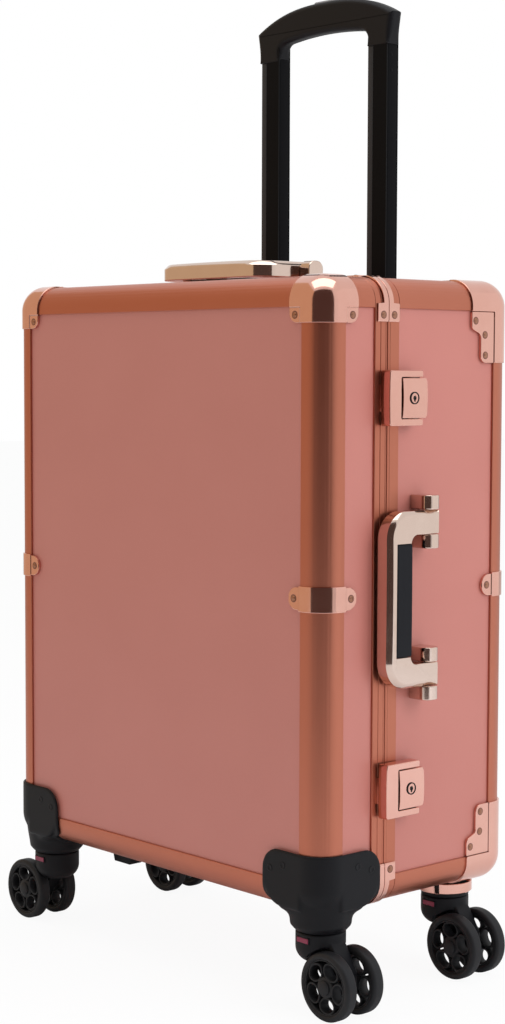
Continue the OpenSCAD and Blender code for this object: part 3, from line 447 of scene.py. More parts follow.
def object_from(name, parts):
    """A mesh object from parts, each a (material, part) pair; doubles merged, normals outward."""
    materials = []
    points, faces, kinds, start = [], [], [], 0
    for material, (verts, polys) in parts:
        if material not in materials:
            materials.append(material)
        points.append(np.asarray(verts))
        faces += [tuple(start + i for i in f) for f in polys]
        kinds += [materials.index(material)] * len(polys)
        start += len(verts)
    mesh = bpy.data.meshes.new(name)
    mesh.from_pydata(to_row(np.concatenate(points)).tolist(), [], faces)
    for material in materials:
        mesh.materials.append(material)
    mesh.polygons.foreach_set("material_index", kinds)
    welded(mesh, lambda work: bmesh.ops.recalc_face_normals(work, faces=work.faces))
    return linked(name, mesh)


def settled(result, body, replaces=(), slot=None):
    """Attaches a finished piece to its body and hides the CAD parts that it replaces."""
    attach(result, body)
    if replaces:
        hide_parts(*replaces)
    return result


def piece(name, body, parts, replaces, slot, sharp=32):
    """A finished piece; its edges stay crisp above the sharp angle."""
    result = object_from(name, parts)
    mesh = result.data
    mesh.polygons.foreach_set("use_smooth", [True] * len(mesh.polygons))
    mesh.set_sharp_from_angle(angle=math.radians(sharp))
    return settled(result, body, replaces, slot)


def applied(result):
    """The object's mesh with its modifiers made real."""
    bpy.context.view_layer.update()
    made = bpy.data.meshes.new_from_object(result.evaluated_get(bpy.context.evaluated_depsgraph_get()))
    result.modifiers.clear()
    result.data = made
    return result


def part_of(result):
    """An object's mesh as a part, in case millimetres; the object is removed."""
    mesh = result.data
    points = np.array([v.co for v in mesh.vertices]) * 1000.0 - [0.0, -CASE_D / 2, CASE_Z]
    faces = [tuple(p.vertices) for p in mesh.polygons]
    bpy.data.objects.remove(result)
    return points, faces


def fused(parts, voxel, rounds):
    """Overlapping parts run together as one moulding, with softened edges."""
    work = object_from("moulding", [(MOULDED, p) for p in parts])
    modify(work, "REMESH", mode="VOXEL", voxel_size=voxel / 1000)
    modify(work, "SMOOTH", factor=0.5, iterations=rounds)
    return part_of(applied(work))


def cut(part, tools):
    """A part less the tools' volumes."""
    work = object_from("work", [(MOULDED, part)])
    knives = [object_from("knife", [(MOULDED, t)]) for t in tools]
    for knife in knives:
        modify(work, "BOOLEAN", operation="DIFFERENCE", solver="EXACT", object=knife)
    applied(work)
    for knife in knives:
        bpy.data.objects.remove(knife)
    return part_of(work)


def dressed(node, edge, steps=2):
    """A CAD node's shape with its facets merged and its edges broken."""
    def flattened(work):
        bmesh.ops.dissolve_limit(work, angle_limit=math.radians(0.6), verts=work.verts, edges=work.edges)
    result = linked("work", welded(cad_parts[node].data.copy(), flattened))
    modify(result, "BEVEL", width=edge / 1000, segments=steps, limit_method="ANGLE",
           angle_limit=math.radians(38))
    return part_of(applied(result))


# Panels keep their CAD shape: flat boards behind the profiles' lips
for name in ("front_panel", "back_panel", "lid_side_panels", "base_side_panels"):
    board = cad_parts[name]
    board.data.materials.clear()
    board.data.materials.append(PANEL)


# Edge profiles: the extrusion's section, in distances inside the two faces that it joins


def edge_section():
    """Outline of an edge extrusion, with fine grooves along its rounded back."""
    groove, half_width = 0.12, 1.6
    points = []
    for angle in np.linspace(0, 90, 61):
        off = abs(angle - 45)
        r = EDGE_R - sum(groove * max(0.0, 1 - abs(off - place) / half_width) for place in (7, 16))
        t = math.radians(angle)
        points.append((EDGE_R - r * math.sin(t), EDGE_R - r * math.cos(t)))
    lip = [(EDGE_W, SKIN), (EDGE_W, 0.5), (EDGE_W - 0.5, 0)]
    back = [(0, EDGE_W - 0.5), (0.5, EDGE_W), (SKIN, EDGE_W), (SKIN, SLOT_IN), (SKIN + SLOT, SLOT_IN),
            (SKIN + SLOT, EDGE_W), (INNER, EDGE_W)]
    inner = arc(EDGE_R, EDGE_R, EDGE_R - INNER, 180, 270, 7)
    end = [(EDGE_W, INNER), (EDGE_W, SKIN + SLOT), (SLOT_IN, SKIN + SLOT), (SLOT_IN, SKIN)]
    return np.array(lip + points + back + inner + end)


def bar(first, second, along, start, end):
    """An edge extrusion: first and second are the rules for its two faces, as (axis, sign, plane)."""
    section = edge_section()
    rings = np.zeros((5, len(section), 3))
    rings[:, :, along] = np.linspace(start, end, len(rings))[:, None]
    for (axis, sign, plane), column in ((first, 0), (second, 1)):
        rings[:, :, axis] = plane + sign * section[:, column]
    return loft(rings)


LEFT, RIGHT = (0, 1, -HALF_W), (0, -1, HALF_W)
FRONT, BACK = (1, 1, 0.0), (1, -1, CASE_D)
BOTTOM, TOP = (2, 1, 0.0), (2, -1, CASE_H)


def frame_bars(face, start, end):
    """The four bars round a face, and the four along the sides from start to end."""
    bars = [bar(side, face, 2, CORNER_GAP, CASE_H - CORNER_GAP) for side in (LEFT, RIGHT)]
    bars += [bar(face, level, 0, CORNER_GAP - HALF_W, HALF_W - CORNER_GAP) for level in (BOTTOM, TOP)]
    bars += [bar(side, level, 1, start, end) for side in (LEFT, RIGHT) for level in (BOTTOM, TOP)]
    return [(PROFILE, b) for b in bars]


piece("lid_edge_bars", "lid", frame_bars(FRONT, CORNER_GAP, LID_RIM - 0.1),
      ["lid_edge_profiles"], "profile", 24)
piece("base_edge_bars", "base", frame_bars(BACK, BASE_RIM + 0.1, CASE_D - CORNER_GAP),
      ["base_edge_profiles"], "profile", 24)


def rim_ring(section):
    """A ring round the case outline: section holds (distance inside the outline, y)."""
    loop = rect(-HALF_W, 0, HALF_W, CASE_H, EDGE_R, 1.5)
    return loft([ring[:, [0, 2, 1]] for ring in layers(loop, section)], closed=True)


# Lid rim: a raised strip, a fine groove, a lower strip, and the tongue inside the joint
lid_rim = rim_ring([
    (SKIN, LID_RIM), (0.5, LID_RIM), (0, LID_RIM + 0.5), (0, 70.6), (0.25, 70.9), (0.75, 71.1), (0.75, 71.6),
    (0.35, 71.9), (0.35, 77.6), (0.1, 78.0), (0.1, 78.9), (0.5, 79.6), (0.9, LID_EDGE), (3.0, LID_EDGE),
    (3.0, 81.55), (3.3, 81.85), (4.3, 81.85), (4.6, 81.55), (4.6, LID_EDGE), (INNER, LID_EDGE),
    (INNER, LID_RIM), (SKIN + SLOT, LID_RIM), (SKIN + SLOT, 71.85), (SKIN, 71.85)])
piece("lid_rim_ring", "lid", [(PROFILE, lid_rim)], ["lid_rim_profile"], "profile", 24)
base_rim = rim_ring([
    (SKIN, BASE_RIM), (0.5, BASE_RIM), (0, BASE_RIM - 0.5), (0, 83.4), (0.2, 83.1), (0.2, 82.6), (0, 82.3),
    (0, 81.2), (0.3, 80.5), (0.9, BASE_EDGE), (2.5, BASE_EDGE), (2.5, 82.6), (5.1, 82.6), (5.1, BASE_EDGE),
    (INNER, BASE_EDGE), (INNER, BASE_RIM), (SKIN + SLOT, BASE_RIM), (SKIN + SLOT, 88.15), (SKIN, 88.15)])
piece("base_rim_ring", "base", [(PROFILE, base_rim)], ["base_rim_profile"], "profile", 24)


# Corner fittings

BODY = 28.2
GAP = 0.5
CREASE_W = 0.8
ON_TAB = FITTING - STEP + 0.05


def body_path(a, b):
    """Outline of a fitting's body on one face: all that stands on the profiles."""
    return [(a, 0), (a, BODY), (BODY, BODY), (BODY, b), (0, b)], [0, 0.8, 0.3, 0.8, 0]


def pad(outline):
    """A rivet pad, a step lower than the fitting's body, standing on the panel."""
    points, radii = outline
    return plate(rounded(points, radii, 0.6, 3.0), -PANEL_DROP, ON_TAB, 0.4, 0.3)


def crease(box):
    """A straight strip on a pad, between two opposite corners of its box, that carries a pressed line's
    painted shade.
    """
    (a, b), (c, d) = box
    return plate(rect(a, b, c, d, 0.2, 0.3), 0.2, ON_TAB + 0.07, 0.05, 0.05, 2)


def ball_pad(third):
    low = BODY + GAP
    return [(low, low), (42, low), (42, 42), (low, 42)], [0.7, 0.7, 9, 0.7]


def rear_pad(third):
    """The pad of a rear plate: stepped on the side and back faces, a square below or above."""
    low = BODY + GAP
    if third == 2:
        return [(low, low), (59, low), (59, 59), (low, 59)], [0.7, 0.7, 7, 0.7]
    path = [(low, low), (59, low), (59, 44.5), (46.5, 49.5), (46.5, 76), (low, 76)]
    radii = [0.7, 0.7, 5, 5, 7, 0.7]
    if third == 0:
        return path, radii
    return [(b, a) for a, b in [path[0]] + path[:0:-1]], [radii[0]] + radii[:0:-1]


def ball_line(third):
    return (BODY - 0.1, BODY - 0.1), (BODY - 0.1 + CREASE_W, 42)


def rear_line(third):
    """The upright line of a rear plate on its side and back faces."""
    low, high = BODY - 0.1, BODY - 0.1 + CREASE_W
    return [((low, 33), (high, 76)), ((33, low), (76, high)), ((low, low), (high, 59))][third]


def across(box):
    """A line's box turned to the other side of the same pad."""
    (a, b), (c, d) = box
    return (b, a), (d, c)


def fitting(sides, outline, lines, finish):
    """Body, pads and the painted shade strips along the creases of a pressed corner, in corner distances."""
    parts = [(PLATED, part) for part in [corner_fitting(*sides, FITTING + 0.05), *on_faces(outline, pad)]]
    return parts + [(finish, part) for line in lines for part in on_faces(line, crease)]


ball = fitting([body_path(42, 42)] * 3, ball_pad, [ball_line, lambda third: across(ball_line(third))], FOLD_SHADE)
piece("lid_ball_corners", "lid", copies(ball, *[at_corner(s, False, True) for s in (-1, 1)]),
      ["ball_corners"], "fitting")
rear_plate = fitting([body_path(59, 76), body_path(76, 59), body_path(59, 59)], rear_pad, [rear_line], CREASE_SHADE)
rear_corners = [at_corner(s, True, top) for s in (-1, 1) for top in (False, True)]
piece("rear_plates", "base", copies(rear_plate, *rear_corners), ["rear_corner_plates"], "fitting")


def mid_clip():
    """A band round an upright edge, with round tabs on the panels."""
    reach, half, tab = 42.0, 11.5, 10.2
    stations = []
    at_step = [28.05, 28.2, 28.5, 28.8, 29.0]
    for s in [*np.linspace(0, 27.8, 20), *at_step, *np.linspace(29.5, reach, 22)]:
        if s <= 28.1:
            width = half
        else:
            inside = max(0.0, s - (reach - tab))
            width = math.sqrt(max(tab * tab - inside * inside, 1.0))
        stations.append((s, -width, width, FITTING if s < reach - 0.4 else FITTING * 0.6))
    return strap(stations)


def clip_creases():
    """The strip of painted shade beside each step of a middle clip."""
    flat = crease(((BODY - 0.1, -9.8), (BODY - 0.1 + CREASE_W, 9.8)))
    return [moved(flat, basis((0, 0, 0), *axes)) for axes in ((X, Z, -Y), (Y, Z, -X))]


def rim_clip(low, high, strap_low, strap_high, pads):
    """A clip beside the split: a narrow strap over the edge and wider pads at its ends."""
    reach, wide_l = 40.0, 16.0
    stations = []
    for s in [*np.linspace(0, reach - wide_l - 0.6, 18), *np.linspace(reach - wide_l, reach, 12)]:
        wide = pads and s > reach - wide_l - 0.1
        a, b = (low, high) if wide else (strap_low, strap_high)
        stations.append((s, a, b, FITTING if s < reach - 0.3 else FITTING * 0.7))
    return strap(stations, False)


def upright(side, back):
    """From a strap's own frame to an upright edge at the clips' height."""
    return lambda p: at_corner(side, back, False)(np.stack([p[:, 0], p[:, 1], p[:, 2] + CASE_H / 2], 1))


def depthwise(side, top):
    """From a strap's own frame to an edge that runs back along the side."""
    return lambda p: at_corner(side, False, top)(np.stack([p[:, 0], p[:, 2], p[:, 1]], 1))


clip = [(PLATED, mid_clip())] + [(CREASE_SHADE, mark) for mark in clip_creases()]
lid_clip, lid_strap = ([(PLATED, rim_clip(66.4, 79.7, 73.9, 79.7, pads))] for pads in (True, False))
base_clip = [(PLATED, rim_clip(80.3, 93.6, 80.3, 86.1, True))]
lid_set, base_set = [], []
for s in (-1, 1):
    lid_set += copies(clip, upright(s, False))
    lid_set += copies(lid_clip, depthwise(s, True)) + copies(lid_strap, depthwise(s, False))
    base_set += copies(clip, upright(s, True)) + copies(base_clip, depthwise(s, False), depthwise(s, True))
piece("lid_clip_set", "lid", lid_set, ["lid_clips"], "fitting", 26)
piece("base_clip_set", "base", base_set, ["base_clips"], "fitting", 26)


# Rivets: a geometry-node tree sets a domed head at each point


def rivet_tree():
    """Points with a facing vector become domed heads with a flange."""
    tree = bpy.data.node_groups.new("rivet heads", "GeometryNodeTree")
    for name, kind in (("Geometry", "Geometry"), ("Head radius", "Float"), ("Head height", "Float"),
                       ("Finish", "Material")):
        tree.interface.new_socket(name, in_out="INPUT", socket_type="NodeSocket" + kind)
    tree.interface.new_socket("Geometry", in_out="OUTPUT", socket_type="NodeSocketGeometry")
    source = tree.nodes.new("NodeGroupInput").outputs
    radius, height = source["Head radius"], source["Head height"]
    flange = add(tree, "GeometryNodeMeshCylinder", {"Vertices": 28, "Radius": radius,
                                                    "Depth": maths(tree, "MULTIPLY", height, 0.5)})
    dome_r = maths(tree, "MULTIPLY", radius, 0.72)
    dome = add(tree, "GeometryNodeMeshUVSphere", {"Segments": 24, "Rings": 12, "Radius": dome_r})
    size = add(tree, "ShaderNodeCombineXYZ", {0: 1.0, 1: 1.0, 2: maths(tree, "DIVIDE", height, dome_r)})
    low = add(tree, "GeometryNodeTransform", {"Geometry": dome, "Scale": size})
    head = add(tree, "GeometryNodeJoinGeometry", {0: flange})
    feed(tree, head, {0: add(tree, "GeometryNodeSetShadeSmooth", {"Geometry": low})})
    facing = add(tree, "GeometryNodeInputNamedAttribute", {"Name": "facing"}, data_type="FLOAT_VECTOR")
    turn = add(tree, "FunctionNodeAlignRotationToVector", {"Vector": facing.outputs["Attribute"]}, axis="Z")
    spots = add(tree, "GeometryNodeMeshToPoints", {"Mesh": source["Geometry"]})
    heads = add(tree, "GeometryNodeInstanceOnPoints", {"Points": spots, "Instance": head, "Rotation": turn})
    real = add(tree, "GeometryNodeRealizeInstances", {"Geometry": heads})
    painted = add(tree, "GeometryNodeSetMaterial", {"Geometry": real, "Material": source["Finish"]})
    feed(tree, tree.nodes.new("NodeGroupOutput"), {0: painted})
    return tree


RIVETS = rivet_tree()


def rivets(name, body, spots, radius, height, finish, replaces=(), slot=None):
    """Heads at spots, each a (point, facing) pair."""
    mesh = bpy.data.meshes.new(name)
    mesh.from_pydata(to_row([p for p, _ in spots]).tolist(), [], [])
    facing = mesh.attributes.new("facing", "FLOAT_VECTOR", "POINT")
    facing.data.foreach_set("vector", np.array([n for _, n in spots], float).ravel())
    result = linked(name, mesh)
    step = modify(result, "NODES", node_group=RIVETS)
    values = {"Head radius": radius / 1000, "Head height": height / 1000, "Finish": finish}
    for item in RIVETS.interface.items_tree:
        if item.in_out == "INPUT" and item.name in values:
            step[item.identifier] = values[item.name]
    return settled(applied(result), body, replaces, slot)


def both(spots):
    """Each spot and its mirror on the left."""
    return [((s * p[0], p[1], p[2]), (s * n[0], n[1], n[2])) for p, n in spots for s in (1, -1)]


# Rivets stand this far inside the faces: at corners and middle clips, at rim clips, and from the split
RIVET_IN, RIM_IN, FROM_SPLIT = 35, 34, 6.7
HEAD_R, SHADE_RING_R = 2.9, 3.6
TOP_Z, MIDDLE = CASE_H - RIVET_IN, CASE_H / 2
TAB_X, CLIP_X = HALF_W + ON_TAB, HALF_W + FITTING
LID_SPOTS = both([
    ((HALF_W - RIVET_IN, -ON_TAB, TOP_Z), -Y), ((TAB_X, RIVET_IN, TOP_Z), X),
    ((HALF_W - RIVET_IN, RIVET_IN, CASE_H + ON_TAB), Z),
    ((CLIP_X, LID_EDGE - FROM_SPLIT, CASE_H - RIM_IN), X),
    ((HALF_W - RIM_IN, LID_EDGE - FROM_SPLIT, CASE_H + FITTING), Z),
    ((TAB_X, RIVET_IN, MIDDLE), X), ((HALF_W - RIVET_IN, -ON_TAB, MIDDLE), -Y)])
PLATE_SPOTS = [(a, z) for a, b in ((54, 37), (41, 50), (40.3, 69)) for z in (b, CASE_H - b)]
BASE_SPOTS = both([
    *[((CLIP_X, BASE_EDGE + FROM_SPLIT, z), X) for z in (CASE_H - RIM_IN, RIM_IN)],
    ((HALF_W - RIM_IN, BASE_EDGE + FROM_SPLIT, CASE_H + FITTING), Z),
    ((TAB_X, CASE_D - RIVET_IN, MIDDLE), X), ((HALF_W - RIVET_IN, CASE_D + ON_TAB, MIDDLE), Y),
    *[((TAB_X, CASE_D - a, z), X) for a, z in PLATE_SPOTS],
    *[((HALF_W - a, CASE_D + ON_TAB, z), Y) for a, z in PLATE_SPOTS]])
for body, spots in (("lid", LID_SPOTS), ("base", BASE_SPOTS)):
    rivets(f"{body}_rivet_heads", body, spots, HEAD_R, 0.9, RIVET, [f"{body}_rivets"], "fitting")
    # A flat ring of painted shade under each rivet head
    rivets(f"{body}_rivet_shade_rings", body, spots, SHADE_RING_R, 0.3, CREASE_SHADE)


# Caster guards: a shell over the corner that runs into the swivel housing


def guard_neck():
    """The swivel housing: flush with the guard's front, flared into its underside at the sides and back."""
    heights = [22, 12, 5, 2.5, 1, -0.8, -3, -6.7, -11.7, -17]
    front = [32.0, 31.4, 30.6, 30.2, 30.0, 29.7, 29.3, 28.7, 28.1, 23.3]
    flare = [32.0, 36.0, 39.0, 37.0, 34.0, 31.6, 29.6, 28.4, 28.0, 23.3]
    t = around(72)
    away = np.abs((np.degrees(t) - 225 + 180) % 360 - 180)
    share = smooth_step(away, 50, 88)
    rings = []
    for z, near, wide in zip(heights, front, flare):
        r = near + share * (wide - near)
        rings.append(np.stack([SWIVEL_IN + r * np.cos(t), SWIVEL_IN + r * np.sin(t), np.full(len(t), z)], 1))
    return loft(rings)


def guard_mould():
    """The front right guard in corner distances, with its housing."""
    front = arc(52, 19.5, 22, -62.4, 0, 12)
    path = front + [(74, 56.7), (40, 56.7), (0, 56.4)]
    radii = [0] * len(front) + [21, 70, 0]
    other = ([(b, a) for a, b in path[::-1]], radii[::-1])
    reach = front[0][0]
    under = [(reach, 0), (reach, reach), (0, reach)], [0, 30, 0]
    shell = corner_fitting((path, radii), other, under, 2.8, 1.8, 0.9)
    leaf = plate([(24, 5), *arc(50, 26, 21, -90, 0, 16), (24, 26)], 0, 5.4, 0.9, 1.2)
    leaves = [moved(leaf, basis(-2.8 * Y, X, Z, Y)), moved(leaf, basis(-2.8 * X, Y, Z, X))]
    return fused([shell, guard_neck(), *leaves], 1.0, 8)


guard = guard_mould()
dimple = turned([(0, 0.15), (1.8, 0.15), (2.3, 0.4), (3.0, 0.45), (3.5, 0.15), (3.7, -0.6), (0, -0.6)], 28)
guard_parts = copies([(MOULDED, guard)], *[at_corner(s, False, False) for s in (-1, 1)])
for s in (-1, 1):
    for a, z in ((11, 38), (28, 43)):
        guard_parts += copies([(MOULDED, dimple)], basis((s * (HALF_W - 74 + a), -2.75, z), X, Z, -Y),
                              basis((s * (HALF_W + 2.75), 72.5 - a, z), Y, Z, s * X))
piece("caster_guard_shells", "lid", guard_parts, ["caster_guards"], "black_plastic", 45)


def rear_mount():
    """A pressed ring, open above, with a slit in front, and the black bearing collar inside it."""
    ring = turned([(23.8, -3.6), (24.1, -3.2), (25.7, -3.2), (26, -3.6), (26, -12.3), (25.4, -13), (20, -13),
                   (20, -9), (23.8, -9)], 72, True)
    toward = np.array([0.438, -0.898, 0])
    across_slit = (0.898, 0.438, 0)
    slit = moved(block((4.2, 4.0, 9.4), 0.3), basis(toward * 25.2 - 11.9 * Z, across_slit, toward, Z))
    ring = cut(ring, [slit])
    fill = moved(block((4.6, 1.6, 9.0), 0.3), basis(toward * 23.9 - 11.8 * Z, across_slit, toward, Z))
    boss = turned([(0, -1.7), (20.5, -1.7), (21, -2.2), (21, -9.5), (0, -9.5)], 48)
    collar = turned([(0, -12.5), (23, -12.5), (23, -16.4), (22.4, -17), (0, -17)], 64)
    return [(PLATED, ring), (SHADOW, fill), (MOULDED, boss), (MOULDED, collar)]


rear_rules = [basis((s * REAR_SWIVEL[0], REAR_SWIVEL[1], 0), s * X, Y, Z) for s in (-1, 1)]
piece("rear_mount_rings", "base", copies(rear_mount(), *rear_rules), ["rear_caster_mounts"], "fitting")


# Casters: drawn about the swivel axis, x along the trail, z 0 at the case bottom

TRAIL, AXLE_DROP, WHEEL_R, WHEEL_W, WHEEL_IN = 28.0, 61.0, 31.0, 13.5, 10.0


def caster_fork():
    """Domed crown, arched over the wheels, and the web down to the axle."""
    crown = turned([(0, -17.3), (21.8, -17.3), (23, -18.2), (23, -31), *arc(9, -32, 14, 0, -90, 12),
                    (0, -46)], 72)
    arch = turned([(0, -14), (33.0, -14), (33.0, 14), (0, 14)], 96)
    arches = [moved(arch, basis((TRAIL, s * 23.6, -AXLE_DROP), X, Z, -Y)) for s in (-1, 1)]
    crown = cut(crown, arches)
    web = rounded([(-3, -43), (4, -26), (22, -24), (39, -51), (37, -69), (27, -73), (19, -67)],
                  [3, 4, 10, 9, 9, 9, 9], 1.0)
    web = moved(plate(web, -9.4, 9.4, 1.5, 1.5), basis((0, 0, 0), X, Z, -Y))
    return fused([crown, web], 0.8, 3)


def wheel():
    """A wheel about local z, from z 0 at its inner side, with five open petals between hub and rim."""
    def whole(near):
        """A section from its inner half."""
        return near + [(r, WHEEL_W - z) for r, z in near[::-1]]
    tyre = turned(whole([
        (23.6, 3.0), (23.7, 1.7), (24.1, 1.1), (24.8, 1.0), (25.2, 1.4), (25.6, 1.0), (26.4, 0.5),
        (27.6, 0.5), (29.4, 0.9), (30.4, 1.7), (30.9, 2.7), (WHEEL_R, 3.7)]), 72, True)
    hub = turned(whole([(4.1, 1.4), (8.7, 1.4), (9.8, 2.2), (10.3, 3.2)]), 48, True)
    t = around(48)
    middle = np.stack([16.3 + 7.1 * np.cos(t), (9.0 + 0.6 * np.cos(t)) * np.sin(t)], 1)
    section = whole([(-1.05, 2.0), (-0.6, 1.4), (0.4, 1.4), (0.85, 2.0)])
    petal = loft(layers(middle, [(-d, z) for d, z in section]), True)
    return [(TYRE, tyre), (TYRE, hub)] + copies([(TYRE, petal)], *[spin(72 * k) for k in range(5)])


fork = caster_fork()
wheel_parts = wheel()
tab = block((14.4, 4.5, 0.9), 0.4)
frame_ring = loft(layers(rect(-8.1, -3.2, 8.1, 3.2, 1.2, 0.5), [
    (0, -2), (0, 0.2), (0.3, 0.5), (0.7, 0.5), (1.0, 0.2), (1.0, -2)]), True)
axle_bar = turned([(0, -24.4), (4, -24.4), (4, 24.4), (0, 24.4)], 32)
axle_cap = turned([(0, 1.6), (2.6, 1.5), (4.6, 1.2), (6.0, 0.6), (6.6, 0.0), (6.6, -1.0), (0, -1.0)], 40)


def caster(corner, x, y, way, outer, turn):
    """Fork, axle and both wheels of one corner.

    outer: the side of the wheel toward the case's outside. turn: how far its petals are turned, in degrees.
    """
    base = basis((x, y, 0), way * X, Y, Z)
    fork_parts = [(MOULDED, fork)]
    axle_parts = copies([(STEEL, axle_bar)], basis((TRAIL, 0, -AXLE_DROP), X, Z, -Y))
    for s in (-1, 1):
        fork_parts += copies([(TAB, tab), (MOULDED, frame_ring)], basis((0, s * 22.4, -23.8), X, Z, s * Y))
        axle_parts += copies([(TYRE, axle_cap)], basis((TRAIL, s * 23.4, -AXLE_DROP), X, Z, s * Y))
    piece(f"{corner}_fork_moulding", f"{corner}_swivel", copies(fork_parts, base), [f"{corner}_fork"],
          "black_plastic", 40)
    piece(f"{corner}_axle_bar", f"{corner}_swivel", copies(axle_parts, base), [f"{corner}_axle"], "steel", 40)
    for name, s in (("outer", outer), ("inner", -outer)):
        seat = basis((TRAIL, s * WHEEL_IN, -AXLE_DROP), X, Z, s * Y)
        parts = copies(copies(copies(wheel_parts, spin(turn)), seat), base)
        body = f"{corner}_{name}"
        piece(f"{body}_wheel_body", body, parts, [f"{body}_wheel"], "wheel", 40)


caster("front_right", HALF_W - SWIVEL_IN, SWIVEL_IN, 1, -1, -8)
caster("front_left", SWIVEL_IN - HALF_W, SWIVEL_IN, -1, -1, 15)
caster("rear_right", REAR_SWIVEL[0], REAR_SWIVEL[1], 1, 1, 20)
caster("rear_left", -REAR_SWIVEL[0], REAR_SWIVEL[1], -1, 1, 40)


# Carry handles: local x along the handle, y back from the front plane, z out from the face

ON_SIDE = basis((HALF_W, 0, HANDLE_Z), Z, Y, X)
ON_TOP = basis((0, 0, CASE_H), X, Y, Z)


def handle_frame():
    """Bar and two arms, with a broad bevel round the outside and a slight crown along the bar."""
    outer = [(80, 128.2), (80, 64), (-80, 64), (-80, 128.2)]
    inner = [(-58.5, 128.2), (-58.5, 92), (58.5, 92), (58.5, 128.2)]
    loop = rounded(outer + inner, [1.5, 25, 25, 1.5, 1.5, 8, 8, 1.5], 1.0, 4.0)
    x, y = np.abs(loop[:, 0]), loop[:, 1]
    outside = (x > 79.9) | (y < 64.1) | ((y < 89.1) & (x > 55) & ((x - 55) ** 2 + (y - 89) ** 2 > 24.9 ** 2))
    edge = np.where(outside & (y < 127), 4.8, 0.7)
    edge = np.where((y > 124), 0.9, edge)
    edge = (np.roll(edge, 1) + edge + np.roll(edge, -1)) / 3
    crown = 0.7 * (1 - (x / 80) ** 2) * (y < 100)
    low, high = 4.7, 20.3 + crown
    bevel = high - edge * 0.92
    rows = [(0.95, low), (0.8, low), (0.25, low + 0.25), (0, low + 0.8), (0, low + 1.1), (0, bevel - 0.3),
            (0, bevel), (edge * 0.08, high - edge * 0.8), (edge * 0.8, high - edge * 0.08), (edge, high),
            (edge + FLAT, high)]
    return loft(layers(loop, rows))


def handle_pad():
    """A padded insert along the bar, a little crowned."""
    loop = rect(-51, 73.1, 51, 93.6, 2.2, 0.6, 6.0)
    verts, faces = plate(loop, 4.8, 21.0, 2.0, 1.2, 5)
    rise = 0.25 * (1 - (verts[:, 0] / 51) ** 2)
    verts[:, 2] = np.where(verts[:, 2] > 15, verts[:, 2] - 0.3 + rise, verts[:, 2])
    return verts, faces


def lug():
    """A bracket lug: a block with two rounded outer corners, standing through to the panel."""
    loop = rect(-9.5, -2.0, 9.5, 21.0, [1.3, 1.3, 8.0, 8.0], 0.8)
    return moved(plate(loop, -6.5, 6.5, 1.0, 1.0), basis((0, 122, 0), Y, Z, X))


pad_room = moved(block((102.6, 22, 30), 0.4), shift(0, 84, 0))
handle_part = cut(handle_frame(), [pad_room])
pad_part = handle_pad()
for name, rule in (("side", ON_SIDE), ("top", ON_TOP)):
    piece(f"{name}_handle_frame", f"{name}_carry_handle", [(CHAMPAGNE, moved(handle_part, rule))],
          [f"{name}_handle"], "champagne", 28)
    cushion = piece(f"{name}_handle_cushion", f"{name}_carry_handle", [(PAD, moved(pad_part, rule))],
                    [f"{name}_handle_pad"], "black_plastic", 50)
lugs = copies([(CHAMPAGNE, lug())], *[shift(x, 0, 0) for x in (-86.9, -51.6, 51.6, 86.9)])
piece("handle_lugs", "base", copies(lugs, ON_SIDE, ON_TOP), ["handle_brackets"], "champagne", 30)


# Latches: local x back from the front plane, y up from the latch's middle, z out from the right side


def latch_parts():
    """The draw link, a C in outline, and the lever plate that lies in it."""
    link = rounded([(70, -24.8), (113, -24.8), (113, -18.7), (85.2, -18.7), (85.2, 18.7), (113, 18.7),
                    (113, 24.8), (70, 24.8)], [2.0, 1.8, 1.3, 1.3, 1.3, 1.3, 1.8, 2.0], 0.5, 3.0)
    link[:, 0] += np.where(link[:, 0] < 71, 0.5 * (link[:, 1] / 24.8) ** 2, 0)
    link_part = plate(link, 2.0, 13.0, 0.8, 0.5, 4)
    half = 17.9
    up = np.linspace(-half, half, 15)
    bow = 1 - (up / half) ** 2
    left = np.stack([86.2 + 1.3 * bow, up], 1)
    right = np.stack([118.2 + 0.9 * bow - 1.6 * (np.abs(up) / half) ** 14, up], 1)
    lever = plate(np.concatenate([left[::-1], right]), 8.4, 13.1, 0.6, 0.4, 4)
    return link_part, lever


link_part, lever_part = latch_parts()
under = moved(block((27.5, 36.9, 1.6), 0.2), shift(99.5, 0, 6.9))
core = moved(block((5.4, 16, 5), 0.3), shift(88.5, 0, 3.4))
key_ring = turned([(5.6, 0), (5.6, 0.3), (5.3, 0.45), (4.9, 0.45), (4.6, 0.3), (4.6, -0.4), (5.6, -0.4)],
                  40, True)
key_hole = turned([(0, 0.4), (1.7, 0.4), (1.9, 0.2), (1.9, -0.4), (0, -0.4)], 32)
key_slit = moved(block((1.3, 3.4, 0.8), 0.15), shift(0, -1.4, -0.4))
keyway = copies([(SHADOW, part) for part in (key_ring, key_hole, key_slit)], shift(101.5, 0, 13.6))
for name, z in LATCHES:
    rule = basis((HALF_W, 0, z), Y, Z, X)
    piece(f"{name}_latch_hook", f"{name}_link", copies([(PLATED, link_part)], rule), [f"{name}_latch_link"],
          "fitting", 30)
    piece(f"{name}_latch_plate", f"{name}_lever",
          copies([(PLATED, lever_part), (PLATED, core), (SHADOW, under)], rule),
          [f"{name}_latch_lever"], "fitting", 30)
    barrel = [(PLATED, dressed(f"{name}_lock_cylinder", 0.15))] + copies(keyway, rule)
    piece(f"{name}_key_barrel", f"{name}_key", barrel, [f"{name}_lock_cylinder"], "fitting", 40)


# Trolley


